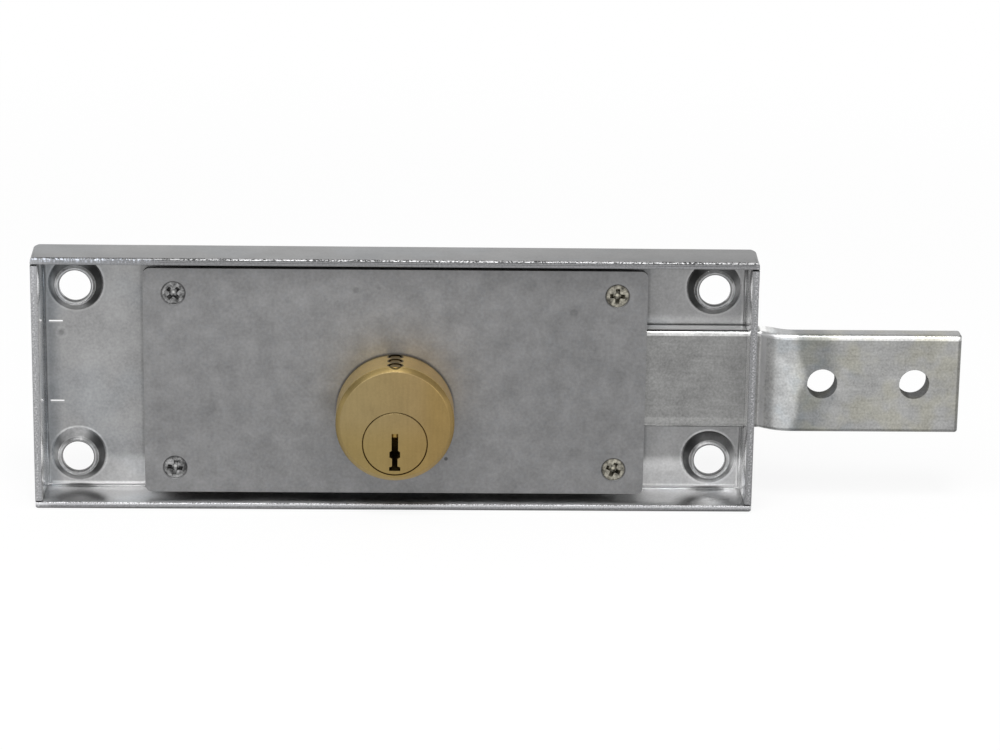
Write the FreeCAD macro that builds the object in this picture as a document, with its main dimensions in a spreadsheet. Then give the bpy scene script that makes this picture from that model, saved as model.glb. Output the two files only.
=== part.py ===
import FreeCAD, Part
import math
import os
from types import SimpleNamespace

import Sketcher

# Lateral roller shutter lock: an open-fronted folded case with a screwed cover, a round
# pin-tumbler cylinder, and a flat bolt bar that the cylinder drives through a rack and pinion.
# X runs along the case towards the bolt, Z is up, and -Y points out of the case's open front.
# The origin is the centre of the case's flat back. Depths are measured forwards from there.

DRIVING = (
    ("case_length", 155.0, "case, outside of left wall to outside of right wall"),
    ("case_height", 56.0, "case, outside of top wall to outside of bottom wall"),
    ("case_depth", 14.0, "case, back to rim"),
    ("case_sheet", 1.5, "case sheet thickness"),
    ("bend_radius", 1.0, "inside radius of the case's bends"),
    ("corner_gap", 0.3, "gap between a side wall and the top or bottom wall"),
    ("corner_round", 5.0, "rounding of the top and bottom walls' back corners"),
    ("hole_inset", 8.5, "mounting holes, from the case's ends"),
    ("hole_gap", 2.3, "gap between a mounting hole's collar and the bolt bar"),
    ("hole_bore", 6.8, "mounting hole diameter"),
    ("dimple_height", 2.5, "raised collar round a mounting hole, height"),
    ("dimple_base", 11.9, "collar diameter at the floor"),
    ("dimple_crown", 8.6, "collar diameter at its crown"),
    ("dimple_mouth", 10.6, "countersink diameter at the case's back"),
    ("dimple_chamfer", 0.4, "chamfer of the collar's crown"),
    ("slit_width", 0.7, "slits in the floor at the left wall's foot, width"),
    ("slit_reach", 5.5, "floor slits, reach from the case's end"),
    ("slit_upper", 10.6, "upper floor slit, height above the case's middle"),
    ("slit_lower", 7.4, "lower floor slit, distance below the case's middle"),
    ("cover_inset", 23.5, "cover plate, from the case's ends"),
    ("cover_gap", 1.5, "gap between the cover plate and the top or bottom wall"),
    ("cover_sheet", 1.5, "cover plate thickness"),
    ("cover_level", 10.5, "cover plate front, forwards of the case's back"),
    ("cover_corner", 1.5, "cover plate corner radius"),
    ("screw_inset_x", 6.5, "cover screws, from the cover plate's ends"),
    ("screw_inset_z", 5.5, "cover screws, from the cover plate's long edges"),
    ("screw_head", 5.2, "cover screw head diameter"),
    ("screw_thread", 3.0, "screw thread diameter"),
    ("screw_length", 8.0, "cover screw length"),
    ("cross_length", 2.8, "cross recess, length of an arm pair"),
    ("cross_width", 0.7, "cross recess, width of an arm"),
    ("cross_depth", 0.9, "cross recess depth"),
    ("pillar_width", 7.0, "cover pillar diameter"),
    ("foot_width", 4.0, "riveted foot diameter of a pillar or the guide stud"),
    ("tap_depth", 6.8, "depth of a pillar's threaded hole"),
    ("fit_gap", 0.05, "radial clearance of pieces that fit in each other"),
    ("slide_gap", 0.1, "clearance on each side of the sliding bolt bar"),
    ("bar_width", 22.0, "bolt bar width"),
    ("bar_thickness", 5.0, "bolt bar thickness"),
    ("bar_edge", 1.0, "rounding of the bolt bar's long edges"),
    ("bar_corner", 0.6, "rounding of the bolt bar's outer corners"),
    ("bar_reach", 44.9, "bolt bar end, beyond the case wall with the bolt drawn back"),
    ("tail_edge", 2.2, "bolt bar tail, beyond the guide slot's end"),
    ("joggle_start", 1.2, "start of the joggle, beyond the case wall"),
    ("joggle_length", 7.8, "length of the joggle"),
    ("joggle_offset", 2.9, "how far the joggle brings the bar forwards"),
    ("joggle_bend", 3.5, "first bend of the joggle, radius at mid-thickness"),
    ("rod_hole", 6.5, "extension rod hole diameter"),
    ("rod_pitch", 20.0, "extension rod hole spacing"),
    ("rod_edge", 10.0, "outer rod hole to the bar's end"),
    ("gear_module", 1.0, "rack and pinion module"),
    ("pinion_teeth", 12.0, "pinion tooth count"),
    ("pressure_angle", 25.0, "rack and pinion pressure angle in degrees"),
    ("tooth_addendum", 0.9, "tooth height above the pitch line, in modules"),
    ("tooth_dedendum", 1.2, "tooth depth below the pitch line, in modules"),
    ("backlash", 0.16, "play between the rack's and the pinion's teeth"),
    ("spare_gaps", 5.0, "tooth gaps of the rack beyond one turn of the pinion"),
    ("notch_end", 9.0, "end of the rack's notch, right of the pinion axis"),
    ("track_height", 5.0, "guide slot and stud, height above the case's middle"),
    ("track_place", 8.2, "guide stud, left of the case's middle"),
    ("stud_width", 5.0, "guide stud shank diameter"),
    ("stud_head", 7.5, "guide stud head diameter"),
    ("stud_cap", 1.1, "guide stud head thickness"),
    ("keeper_place", 30.0, "bolt keeper's middle, right of the case's middle"),
    ("keeper_width", 10.0, "bolt keeper width"),
    ("keeper_sheet", 1.2, "bolt keeper thickness"),
    ("keeper_foot", 6.0, "bolt keeper foot length"),
    ("rivet_head", 5.2, "keeper rivet head diameter"),
    ("rivet_top", 3.2, "keeper rivet head diameter at its flat top"),
    ("rivet_cap", 1.2, "keeper rivet head height"),
    ("shell_width", 25.4, "lock cylinder diameter"),
    ("shell_drop", 6.4, "lock cylinder axis below the case's middle"),
    ("nose_length", 10.5, "lock cylinder length in front of the cover"),
    ("nose_chamfer", 1.0, "chamfer of the cylinder's front edge"),
    ("tower_width", 8.4, "width of the pin tower behind the cover"),
    ("tower_inset", 0.6, "top of the pin tower, inside the cylinder's rim"),
    ("housing_width", 16.6, "diameter of the plug housing behind the cover"),
    ("shell_gap", 0.6, "cylinder's rear face, forwards of the bolt bar"),
    ("plug_offset", 4.25, "plug axis below the cylinder axis"),
    ("plug_width", 12.8, "plug diameter"),
    ("plug_head", 14.0, "plug front head diameter"),
    ("head_thick", 0.7, "plug front head thickness"),
    ("head_chamfer", 0.25, "chamfer of the plug's front edge"),
    ("neck_width", 9.6, "plug neck diameter behind the cylinder"),
    ("retainer_width", 15.0, "push-on retainer, outer diameter"),
    ("retainer_thick", 0.4, "push-on retainer thickness"),
    ("retainer_slot", 1.2, "push-on retainer, width of its slots"),
    ("retainer_reach", 5.8, "push-on retainer, reach of its slots from the plug axis"),
    ("key_depth", 13.5, "keyway depth"),
    ("pin_width", 2.8, "pin diameter"),
    ("pin_first", 2.2, "first pin behind the cylinder's front"),
    ("pin_pitch", 3.3, "pin spacing"),
    ("chamber_floor", 0.6, "tip of a pin chamber below the plug axis"),
    ("pin_tip_1", 0.25, "key pin 1, tip above the plug axis when lifted"),
    ("pin_tip_2", 1.3, "key pin 2, tip above the plug axis when lifted"),
    ("pin_tip_3", 2.1, "key pin 3, tip above the plug axis when lifted"),
    ("pin_tip_4", 0.8, "key pin 4, tip above the plug axis when lifted"),
    ("pin_taper", 1.0, "length of a key pin's taper"),
    ("pin_chamfer", 0.3, "chamfer of a pin's flat end"),
    ("driver_length", 3.6, "driver pin length"),
    ("spring_width", 2.35, "pin spring outer diameter"),
    ("spring_wire", 0.36, "pin spring wire diameter"),
    ("spring_turns", 3.5, "pin spring turns"),
    ("stopper_length", 1.8, "chamber plug length"),
    ("stopper_recess", 0.2, "chamber plug below the top of the cylinder"),
    ("fixing_place", 9.0, "cylinder screws, to each side of the case's middle"),
    ("fixing_drop", 2.0, "cylinder screws below the case's middle"),
    ("fixing_head", 5.5, "cylinder screw head diameter"),
    ("fixing_cap", 1.8, "cylinder screw head height"),
    ("fixing_length", 5.8, "cylinder screw length under the head"),
    ("pinion_width", 4.5, "pinion thickness"),
    ("journal_width", 7.0, "pinion journal diameter"),
    ("bush_width", 10.0, "bush outer diameter"),
    ("blade_width", 8.0, "drive blade width"),
    ("blade_thick", 2.0, "drive blade thickness"),
    ("blade_seat", 1.0, "drive blade depth in the plug"),
)

PIN_COUNT = 4
COIL_STEPS = 12
LEFT = 1
RIGHT = -1
SIDES = (1, -1)
SOLID_LIMIT = 0.001

document = FreeCAD.newDocument("roller_shutter_lock")
sheet = document.addObject("Spreadsheet::Sheet", "Sizes")
nodes = {}


class Size:
    """A number from the sheet, or worked out from the sheet, together with its formula."""

    def __init__(self, value, formula):
        self.value = float(value)
        self.formula = formula

    def joined(self, sign, other, value):
        return Size(value, f"({self.formula} {sign} {formula_of(other)})")

    def __add__(self, other):
        return self.joined("+", other, self.value + value_of(other))

    def __sub__(self, other):
        return self.joined("-", other, self.value - value_of(other))

    def __mul__(self, other):
        return self.joined("*", other, self.value * value_of(other))

    def __truediv__(self, other):
        return self.joined("/", other, self.value / value_of(other))

    def __neg__(self):
        return Size(-self.value, f"(-1 * {self.formula})")

    def __rsub__(self, other):
        return -self + other

    def __rmul__(self, other):
        return self * other

    def __radd__(self, other):
        return self + other


def value_of(amount):
    return amount.value if isinstance(amount, Size) else float(amount)


def formula_of(amount):
    return amount.formula if isinstance(amount, Size) else repr(float(amount))


def root(amount):
    return Size(math.sqrt(amount.value), f"sqrt({amount.formula})")


def tangent(angle):
    return Size(math.tan(math.radians(angle.value)), f"tan({angle.formula} * 1deg)")


def side_of_circle(radius, offset):
    """The other leg of a right triangle on a circle's radius."""
    return root(radius * radius - offset * offset)


def fill_sheet():
    for row, (alias, value, note) in enumerate(DRIVING, start=1):
        sheet.set(f"A{row}", note)
        sheet.set(f"B{row}", str(value))
        sheet.setAlias(f"B{row}", alias)
    document.recompute()
    return SimpleNamespace(**{alias: Size(value, f"Sizes.{alias}") for alias, value, _ in DRIVING})


s = fill_sheet()

# Places that several pieces share.
half_length = s.case_length / 2
half_height = s.case_height / 2
cover_far = half_length - s.cover_inset
cover_high = half_height - s.case_sheet - s.cover_gap
screw_x = cover_far - s.screw_inset_x
screw_z = cover_high - s.screw_inset_z
hole_x = half_length - s.hole_inset
hole_z = s.bar_width / 2 + s.hole_gap + s.dimple_base / 2
bend_outer = s.bend_radius + s.case_sheet
bar_back = s.case_sheet + s.slide_gap
bar_front = bar_back + s.bar_thickness
cover_rear = s.cover_level - s.cover_sheet
front_level = s.cover_level + s.nose_length
plug_drop = s.shell_drop + s.plug_offset
shell_radius = s.shell_width / 2
bore_radius = s.plug_width / 2 + s.fit_gap
screw_hole = s.screw_thread + s.fit_gap * 2
chamber_radius = s.pin_width / 2 + s.fit_gap
pitch_radius = s.gear_module * s.pinion_teeth / 2
tip_radius = pitch_radius + s.gear_module * s.tooth_addendum
pitch_line = pitch_radius - plug_drop
tip_line = pitch_line - s.gear_module * s.tooth_addendum
tooth_pitch = s.gear_module * math.pi
shell_rear = bar_front + s.shell_gap
retainer_front = shell_rear - s.fit_gap
retainer_back = retainer_front - s.retainer_thick
pinion_front = bar_back + s.pinion_width
neck_back = pinion_front + s.slide_gap * 1.5
keeper_inside = s.bar_width / 2 + s.slide_gap * 1.5
keeper_rivet = keeper_inside + s.keeper_sheet + s.keeper_foot / 2
throw = pitch_radius * (2 * math.pi)
track_spare = s.slide_gap * 3
track_end = s.track_place + throw + track_spare + s.stud_width / 2 + s.slide_gap
tail_reach = track_end + s.tail_edge
tower_crown = shell_radius - s.tower_inset


def bind(thing, name, amount):
    """Set a property by its number, and tie it to the sheet where it has a formula."""
    whole = isinstance(getattr(thing, name), int)
    setattr(thing, name, round(value_of(amount)) if whole else value_of(amount))
    if isinstance(amount, Size):
        thing.setExpression(name, amount.formula)


def new_body(name):
    body = document.addObject("PartDesign::Body", name)
    body.Label = name
    return body


def new_sketch(body, name, role, place=(0, 0, 0)):
    """A sketch on one of the body's own planes, shifted by place in the plane's own axes."""
    sketch = body.newObject("Sketcher::SketchObject", f"{body.Name}_{name}_sketch")
    plane = next(item for item in body.Origin.OriginFeatures if item.Role == role)
    sketch.AttachmentSupport = [(plane, "")]
    sketch.MapMode = "FlatFace"
    for axis, amount in zip("xyz", place):
        if isinstance(amount, Size):
            sketch.setExpression(f"AttachmentOffset.Base.{axis}", amount.formula)
    return sketch


def constrain(sketch, kind, *values):
    """Add a dimension whose last value may be a size, and tie it to the sheet."""
    amount = values[-1]
    index = sketch.addConstraint(Sketcher.Constraint(kind, *values[:-1], value_of(amount)))
    if isinstance(amount, Size):
        name = f"{kind}_{index}"
        sketch.renameConstraint(index, name)
        sketch.setExpression(f"Constraints.{name}", amount.formula)


def arc_between(start, end, radius, turn):
    """The arc of less than half a turn that leads from start to end."""
    along = end - start
    middle = start + along * 0.5
    rise = math.sqrt(max(radius * radius - along.Length ** 2 / 4, 0.0))
    across = FreeCAD.Vector(-along.y, along.x, 0).normalize()
    centre = middle + across * (rise * turn)
    first, last = (start, end) if turn == LEFT else (end, start)
    angles = [math.atan2(point.y - centre.y, point.x - centre.x) for point in (first, last)]
    circle = Part.Circle(centre, FreeCAD.Vector(0, 0, 1), radius)
    return Part.ArcOfCircle(circle, angles[0], angles[1])


def draw_outline(sketch, *points):
    """Close an outline through points. A point (x, y) is reached by a straight side, and a
    point (x, y, radius, turn) by an arc that turns left or right. The first point's own side
    closes the outline."""
    ends = [FreeCAD.Vector(value_of(point[0]), value_of(point[1]), 0) for point in points]
    count = len(points)
    base = sketch.GeometryCount
    starts = []
    for index in range(count):
        follower = points[(index + 1) % count]
        start, end = ends[index], ends[(index + 1) % count]
        if len(follower) == 2:
            sketch.addGeometry(Part.LineSegment(start, end), False)
            starts.append(1)
        else:
            turn = follower[3]
            sketch.addGeometry(arc_between(start, end, value_of(follower[2]), turn), False)
            starts.append(1 if turn == LEFT else 2)
    for index in range(count):
        following = (index + 1) % count
        sketch.addConstraint(Sketcher.Constraint(
            "Coincident", base + index, 3 - starts[index], base + following, starts[following]))
    for index, point in enumerate(points):
        constrain(sketch, "DistanceX", -1, 1, base + index, starts[index], point[0])
        constrain(sketch, "DistanceY", -1, 1, base + index, starts[index], point[1])
        follower = points[(index + 1) % count]
        if len(follower) > 2:
            constrain(sketch, "Radius", base + index, follower[2])
    return sketch


def draw_rectangle(sketch, left, low, right, high):
    return draw_outline(sketch, (left, low), (right, low), (right, high), (left, high))


def draw_circle(sketch, x, y, diameter):
    index = sketch.GeometryCount
    centre = FreeCAD.Vector(value_of(x), value_of(y), 0)
    sketch.addGeometry(Part.Circle(centre, FreeCAD.Vector(0, 0, 1), value_of(diameter) / 2), False)
    constrain(sketch, "DistanceX", -1, 1, index, 3, x)
    constrain(sketch, "DistanceY", -1, 1, index, 3, y)
    constrain(sketch, "Diameter", index, diameter)
    return sketch


def draw_cross(sketch, length, width):
    """A plus sign round the sketch's own origin."""
    far = length / 2
    near = width / 2
    return draw_outline(
        sketch, (near, near), (near, far), (-near, far), (-near, near), (-far, near), (-far, -near),
        (-near, -near), (-near, -far), (near, -far), (near, -near), (far, -near), (far, near))


def extrude(kind, sketch, name, length, side="One side", backwards=False):
    body = sketch.getParentGeoFeatureGroup()
    feature = body.newObject(f"PartDesign::{kind}", f"{body.Name}_{name}")
    feature.Profile = sketch
    feature.SideType = side
    feature.Reversed = backwards
    bind(feature, "Length", length)
    sketch.Visibility = False
    return feature


def pad(sketch, name, length, **options):
    return extrude("Pad", sketch, name, length, **options)


def pocket(sketch, name, length, **options):
    """Cut a sketch's shape out, and make sure that it took material away."""
    body = sketch.getParentGeoFeatureGroup()
    document.recompute()
    before = body.Shape.Volume
    feature = extrude("Pocket", sketch, name, length, **options)
    document.recompute()
    if body.Shape.Volume > before - SOLID_LIMIT:
        raise ValueError(f"{feature.Name} cuts nothing")
    return feature


def spin(kind, sketch, name):
    """Turn a sketch's shape once round its own upright axis."""
    body = sketch.getParentGeoFeatureGroup()
    document.recompute()
    feature = body.newObject(f"PartDesign::{kind}", f"{body.Name}_{name}")
    feature.Profile = sketch
    feature.ReferenceAxis = (sketch, ["V_Axis"])
    feature.Angle = 360
    sketch.Visibility = False
    return feature


def revolve(sketch, name):
    return spin("Revolution", sketch, name)


def groove(sketch, name):
    """Cut a turned shape out, and make sure that it took material away."""
    body = sketch.getParentGeoFeatureGroup()
    document.recompute()
    before = body.Shape.Volume
    feature = spin("Groove", sketch, name)
    document.recompute()
    if body.Shape.Volume > before - SOLID_LIMIT:
        raise ValueError(f"{feature.Name} cuts nothing")
    return feature


def round_edges(body, name, radius, chosen):
    """Round the edges of the body's last feature for which chosen(edge) is true."""
    document.recompute()
    base = body.Tip
    names = [f"Edge{index}" for index, edge in enumerate(base.Shape.Edges, 1) if chosen(edge)]
    if not names:
        raise ValueError(f"{name} finds no edge to round")
    feature = body.newObject("PartDesign::Fillet", f"{body.Name}_{name}")
    feature.Base = (base, names)
    bind(feature, "Radius", radius)
    return feature


def is_near(first, second, margin=0.01):
    return abs(first - second) < margin


def row_of(body, name, feature, sketch, spacing, count, backwards=False):
    """Repeat a feature along the sketch's flat axis."""
    pattern = body.newObject("PartDesign::LinearPattern", f"{body.Name}_{name}")
    pattern.Originals = [feature]
    pattern.Direction = (sketch, ["H_Axis"])
    pattern.Reversed = backwards
    bind(pattern, "Length", spacing * (count - 1))
    bind(pattern, "Occurrences", count)
    body.Tip = pattern
    return pattern


def ring_of(body, name, feature, sketch, count):
    """Repeat a feature round the sketch's own origin."""
    pattern = body.newObject("PartDesign::PolarPattern", f"{body.Name}_{name}")
    pattern.Originals = [feature]
    pattern.Axis = (sketch, ["N_Axis"])
    pattern.Angle = 360
    bind(pattern, "Occurrences", count)
    body.Tip = pattern
    return pattern


def keep(item, label):
    """Make an object a sub-part of its own."""
    item.Label = label
    nodes[label] = item
    return item


def mirrored(source, name, normal):
    copy = document.addObject("Part::Mirroring", name)
    copy.Source = source
    copy.Normal = normal
    return copy


def keep_group(label, members):
    """Like pieces that share one sub-part as separate solids."""
    whole = document.addObject("Part::Compound", f"{label}_group")
    whole.Links = members
    return keep(whole, label)


def four_corners(label, body):
    across = mirrored(body, f"{label}_left", FreeCAD.Vector(1, 0, 0))
    below = [mirrored(item, f"{item.Name}_low", FreeCAD.Vector(0, 0, 1)) for item in (body, across)]
    return keep_group(label, [body, across, *below])


# Case

def add_case_walls(body):
    """A folded channel for the floor, top and bottom walls, then the two folded side walls."""
    inside = half_height - s.case_sheet
    turn_high = half_height - bend_outer
    sketch = new_sketch(body, "channel", "YZ_Plane")
    draw_outline(
        sketch,
        (-s.case_depth, half_height),
        (-bend_outer, half_height),
        (0, turn_high, bend_outer, RIGHT),
        (0, -turn_high),
        (-bend_outer, -half_height, bend_outer, RIGHT),
        (-s.case_depth, -half_height),
        (-s.case_depth, -inside),
        (-bend_outer, -inside),
        (-s.case_sheet, -turn_high, s.bend_radius, LEFT),
        (-s.case_sheet, turn_high),
        (-bend_outer, inside, s.bend_radius, LEFT),
        (-s.case_depth, inside))
    pad(sketch, "channel", s.case_length, side="Symmetric")

    bend_start = half_length - bend_outer
    notch = new_sketch(body, "ends", "XZ_Plane")
    draw_rectangle(notch, bend_start, -inside, half_length + s.case_sheet, inside)
    draw_rectangle(notch, -half_length - s.case_sheet, -inside, -bend_start, inside)
    pocket(notch, "ends", s.case_depth * 4, side="Symmetric")

    for side, label in ((1, "right"), (-1, "left")):
        wall = new_sketch(body, f"{label}_wall", "XY_Plane")
        draw_outline(
            wall,
            (side * bend_start, 0),
            (side * half_length, -bend_outer, bend_outer, RIGHT * side),
            (side * half_length, -s.case_depth),
            (side * (half_length - s.case_sheet), -s.case_depth),
            (side * (half_length - s.case_sheet), -bend_outer),
            (side * bend_start, -s.case_sheet, s.bend_radius, LEFT * side))
        pad(wall, f"{label}_wall", (inside - s.corner_gap) * 2, side="Symmetric")


def add_case_corners(body):
    """Round the back corners of the top and bottom walls."""
    for side in SIDES:
        for level in SIDES:
            place = (0, 0, level * (half_height - s.case_sheet))
            corner = new_sketch(body, f"corner_{side}_{level}", "XY_Plane", place)
            inner = half_length - s.corner_round
            draw_outline(
                corner,
                (side * inner, 0),
                (side * half_length, -s.corner_round, s.corner_round, RIGHT * side),
                (side * (half_length + s.case_sheet), -s.corner_round),
                (side * (half_length + s.case_sheet), s.case_sheet),
                (side * inner, s.case_sheet))
            pocket(corner, f"corner_{side}_{level}", s.case_sheet * 2, backwards=level > 0)


def add_collars(body):
    """A raised collar with a countersunk back round each mounting hole."""
    crown = s.case_sheet + s.dimple_height
    for side in SIDES:
        for level in SIDES:
            place = (side * hole_x, 0, level * hole_z)
            collar = new_sketch(body, f"collar_{side}_{level}", "XY_Plane", place)
            bore = s.hole_bore / 4
            rim = s.dimple_crown / 2
            draw_outline(
                collar, (bore, -s.case_sheet / 2), (s.dimple_base / 2, -s.case_sheet / 2),
                (s.dimple_base / 2, -s.case_sheet), (rim, s.dimple_chamfer - crown),
                (rim - s.dimple_chamfer, -crown), (bore, -crown))
            revolve(collar, f"collar_{side}_{level}")
            hole = new_sketch(body, f"hole_{side}_{level}", "XY_Plane", place)
            draw_outline(
                hole, (0, s.case_sheet), (s.dimple_mouth / 2, s.case_sheet), (s.dimple_mouth / 2, 0),
                (s.hole_bore / 2, -(crown - s.case_sheet * 0.8)), (s.hole_bore / 2, -crown * 2),
                (0, -crown * 2))
            groove(hole, f"hole_{side}_{level}")


def add_case_openings(body):
    """The bolt's window, the floor slits, and the floor holes that take riveted feet."""
    run = new_sketch(body, "window", "YZ_Plane", (0, 0, half_length + s.case_sheet))
    half_window = s.bar_width / 2 + s.slide_gap * 2
    draw_rectangle(run, -(bar_front + s.slide_gap * 2), -half_window, -s.case_sheet, half_window)
    pocket(run, "window", bend_outer + s.case_sheet * 1.5)

    for label, height in (("upper", s.slit_upper), ("lower", -s.slit_lower)):
        slit = new_sketch(body, f"{label}_slit", "XY_Plane", (0, 0, height))
        draw_rectangle(slit, bend_outer - half_length, -s.case_sheet * 2,
                       s.slit_reach - half_length, s.case_sheet)
        pocket(slit, f"{label}_slit", s.slit_width, side="Symmetric")

    feet = new_sketch(body, "feet", "XZ_Plane")
    foot_hole = s.foot_width + s.fit_gap * 2
    for side in SIDES:
        for level in SIDES:
            draw_circle(feet, side * screw_x, level * screw_z, foot_hole)
    draw_circle(feet, -s.track_place, s.track_height, foot_hole)
    draw_circle(feet, s.keeper_place, keeper_rivet, screw_hole)
    draw_circle(feet, s.keeper_place, -keeper_rivet, screw_hole)
    draw_circle(feet, 0, -plug_drop, s.bush_width + s.fit_gap * 2)
    pocket(feet, "feet", s.case_sheet * 2, backwards=True)


def build_tray():
    body = new_body("tray")
    add_case_walls(body)
    add_case_corners(body)
    add_collars(body)
    add_case_openings(body)
    keep(body, "tray")


# Cover and what holds it

def draw_spigot(sketch, tower, housing, crown):
    """The cylinder's outline behind the cover: a round plug housing under an upright tower.
    The sketch's origin is on the plug axis, and crown is the radius of the tower's top about
    the cylinder axis."""
    shoulder = side_of_circle(housing, tower)
    top = s.plug_offset + side_of_circle(crown, tower)
    return draw_outline(
        sketch, (tower, shoulder, housing, LEFT), (tower, top), (-tower, top, crown, LEFT),
        (-tower, shoulder), (-housing, 0, housing, LEFT), (0, -housing, housing, LEFT),
        (housing, 0, housing, LEFT))


def build_cover():
    body = new_body("cover_plate")
    plate = new_sketch(body, "plate", "XZ_Plane", (0, 0, cover_rear))
    far, high, turn = cover_far, cover_high, s.cover_corner
    draw_outline(
        plate,
        (far - turn, -high), (far, turn - high, turn, LEFT),
        (far, high - turn), (far - turn, high, turn, LEFT),
        (turn - far, high), (-far, high - turn, turn, LEFT),
        (-far, turn - high), (turn - far, -high, turn, LEFT))
    pad(plate, "plate", s.cover_sheet)

    opening = new_sketch(body, "opening", "XZ_Plane", (0, -plug_drop, cover_rear))
    draw_spigot(opening, s.tower_width / 2 + s.slide_gap, s.housing_width / 2 + s.slide_gap,
                tower_crown + s.slide_gap)
    pocket(opening, "opening", s.cover_sheet * 2, side="Symmetric")

    fixings = new_sketch(body, "fixings", "XZ_Plane", (0, 0, cover_rear))
    for side in SIDES:
        draw_circle(fixings, side * s.fixing_place, -s.fixing_drop, screw_hole + s.fit_gap * 4)
    pocket(fixings, "fixings", s.cover_sheet * 3, side="Symmetric")

    sink = (s.screw_head - s.screw_thread) / 2
    for side in SIDES:
        for level in SIDES:
            place = (side * screw_x, 0, level * screw_z)
            hole = new_sketch(body, f"sink_{side}_{level}", "XY_Plane", place)
            rim = s.screw_head / 2 + s.fit_gap
            bore = screw_hole / 2
            draw_outline(
                hole, (0, -s.cover_level * 1.2), (rim, -s.cover_level * 1.2), (rim, -s.cover_level),
                (bore, -s.cover_level + sink), (bore, -cover_rear + s.cover_sheet),
                (0, -cover_rear + s.cover_sheet))
            groove(hole, f"sink_{side}_{level}")
    keep(body, "cover_plate")


def build_pillars():
    """Round posts, riveted into the floor by a foot and threaded for the cover screws."""
    body = new_body("cover_pillar")
    place = (screw_x, 0, screw_z)
    post = new_sketch(body, "post", "XY_Plane", place)
    bore = screw_hole / 2
    blind = -(cover_rear - s.tap_depth)
    draw_outline(
        post, (bore, -cover_rear), (s.pillar_width / 2, -cover_rear),
        (s.pillar_width / 2, -s.case_sheet), (s.foot_width / 2, -s.case_sheet),
        (s.foot_width / 2, 0), (0, 0), (0, blind), (bore, blind))
    revolve(post, "post")
    four_corners("cover_pillars", body)


def build_cover_screws():
    """Countersunk cross-recess screws, flush with the cover."""
    body = new_body("cover_screw")
    place = (screw_x, 0, screw_z)
    shank = new_sketch(body, "shank", "XY_Plane", place)
    head, thread = s.screw_head / 2, s.screw_thread / 2
    end = s.screw_length - s.cover_level
    draw_outline(
        shank, (0, -s.cover_level), (head, -s.cover_level), (thread, head - thread - s.cover_level),
        (thread, end), (0, end))
    revolve(shank, "shank")
    place = (screw_x, screw_z, s.cover_level)
    recess = new_sketch(body, "recess", "XZ_Plane", place)
    draw_cross(recess, s.cross_length, s.cross_width)
    pocket(recess, "recess", s.cross_depth)
    four_corners("cover_screws", body)


# Bolt and its guides

def draw_bar_side(sketch):
    """The bar seen from above: flat, then a joggle towards the front, then flat again."""
    end = half_length + s.bar_reach
    first = half_length + s.joggle_start
    last = first + s.joggle_length
    bends = (s.joggle_offset * s.joggle_offset + s.joggle_length * s.joggle_length) / (
        s.joggle_offset * 2)
    second_bend = bends - s.joggle_bend
    sine = s.joggle_length / bends
    cosine = 1 - s.joggle_offset / bends
    half = s.bar_thickness / 2
    middle_x = first + s.joggle_bend * sine
    middle_y = -(bar_back + half) - s.joggle_bend * (1 - cosine)
    return draw_outline(
        sketch,
        (-tail_reach, -bar_back),
        (first, -bar_back),
        (middle_x + half * sine, middle_y + half * cosine, s.joggle_bend + half, RIGHT),
        (last, -(bar_back + s.joggle_offset), second_bend - half, LEFT),
        (end, -(bar_back + s.joggle_offset)),
        (end, -(bar_front + s.joggle_offset)),
        (last, -(bar_front + s.joggle_offset)),
        (middle_x - half * sine, middle_y - half * cosine, second_bend + half, RIGHT),
        (first, -bar_front, s.joggle_bend - half, LEFT),
        (-tail_reach, -bar_front))


def add_rack(body):
    """A notch along the bar's lower edge, then trapezoid tooth gaps up into it."""
    below = s.bar_width / 2 + s.bar_edge
    notch = new_sketch(body, "notch", "XZ_Plane")
    draw_rectangle(notch, -(tail_reach + s.bar_edge), -below, s.notch_end, tip_line)
    pocket(notch, "notch", s.case_depth * 4, side="Symmetric")

    flank = tangent(s.pressure_angle)
    half_gap = (tooth_pitch / 2 + s.backlash / 2) / 2
    root_line = pitch_line + s.gear_module * s.tooth_dedendum
    mouth_line = tip_line - s.gear_module / 2
    mouth = half_gap + (pitch_line - mouth_line) * flank
    floor = half_gap - (root_line - pitch_line) * flank
    side_gaps = (s.spare_gaps - 1) / 2
    gap = new_sketch(body, "gap", "XZ_Plane")
    last = tooth_pitch * side_gaps
    draw_outline(gap, (last - mouth, mouth_line), (last + mouth, mouth_line),
                 (last + floor, root_line), (last - floor, root_line))
    cut = pocket(gap, "gap", s.case_depth * 4, side="Symmetric")
    row_of(body, "gaps", cut, gap, tooth_pitch, s.pinion_teeth + s.spare_gaps, backwards=True)


def add_bar_holes(body):
    run = new_sketch(body, "track", "XZ_Plane")
    radius = s.stud_width / 2 + s.slide_gap
    right = track_spare - s.track_place
    left = -s.track_place - throw - track_spare
    low, high = s.track_height - radius, s.track_height + radius
    draw_outline(
        run,
        (left, low, radius, LEFT), (right, low),
        (right + radius, s.track_height, radius, LEFT), (right, high, radius, LEFT),
        (left, high), (left - radius, s.track_height, radius, LEFT))
    pocket(run, "track", s.case_depth * 4, side="Symmetric")

    rods = new_sketch(body, "rods", "XZ_Plane")
    outer = half_length + s.bar_reach - s.rod_edge
    draw_circle(rods, outer, 0, s.rod_hole)
    draw_circle(rods, outer - s.rod_pitch, 0, s.rod_hole)
    pocket(rods, "rods", s.case_depth * 4, side="Symmetric")


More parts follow.
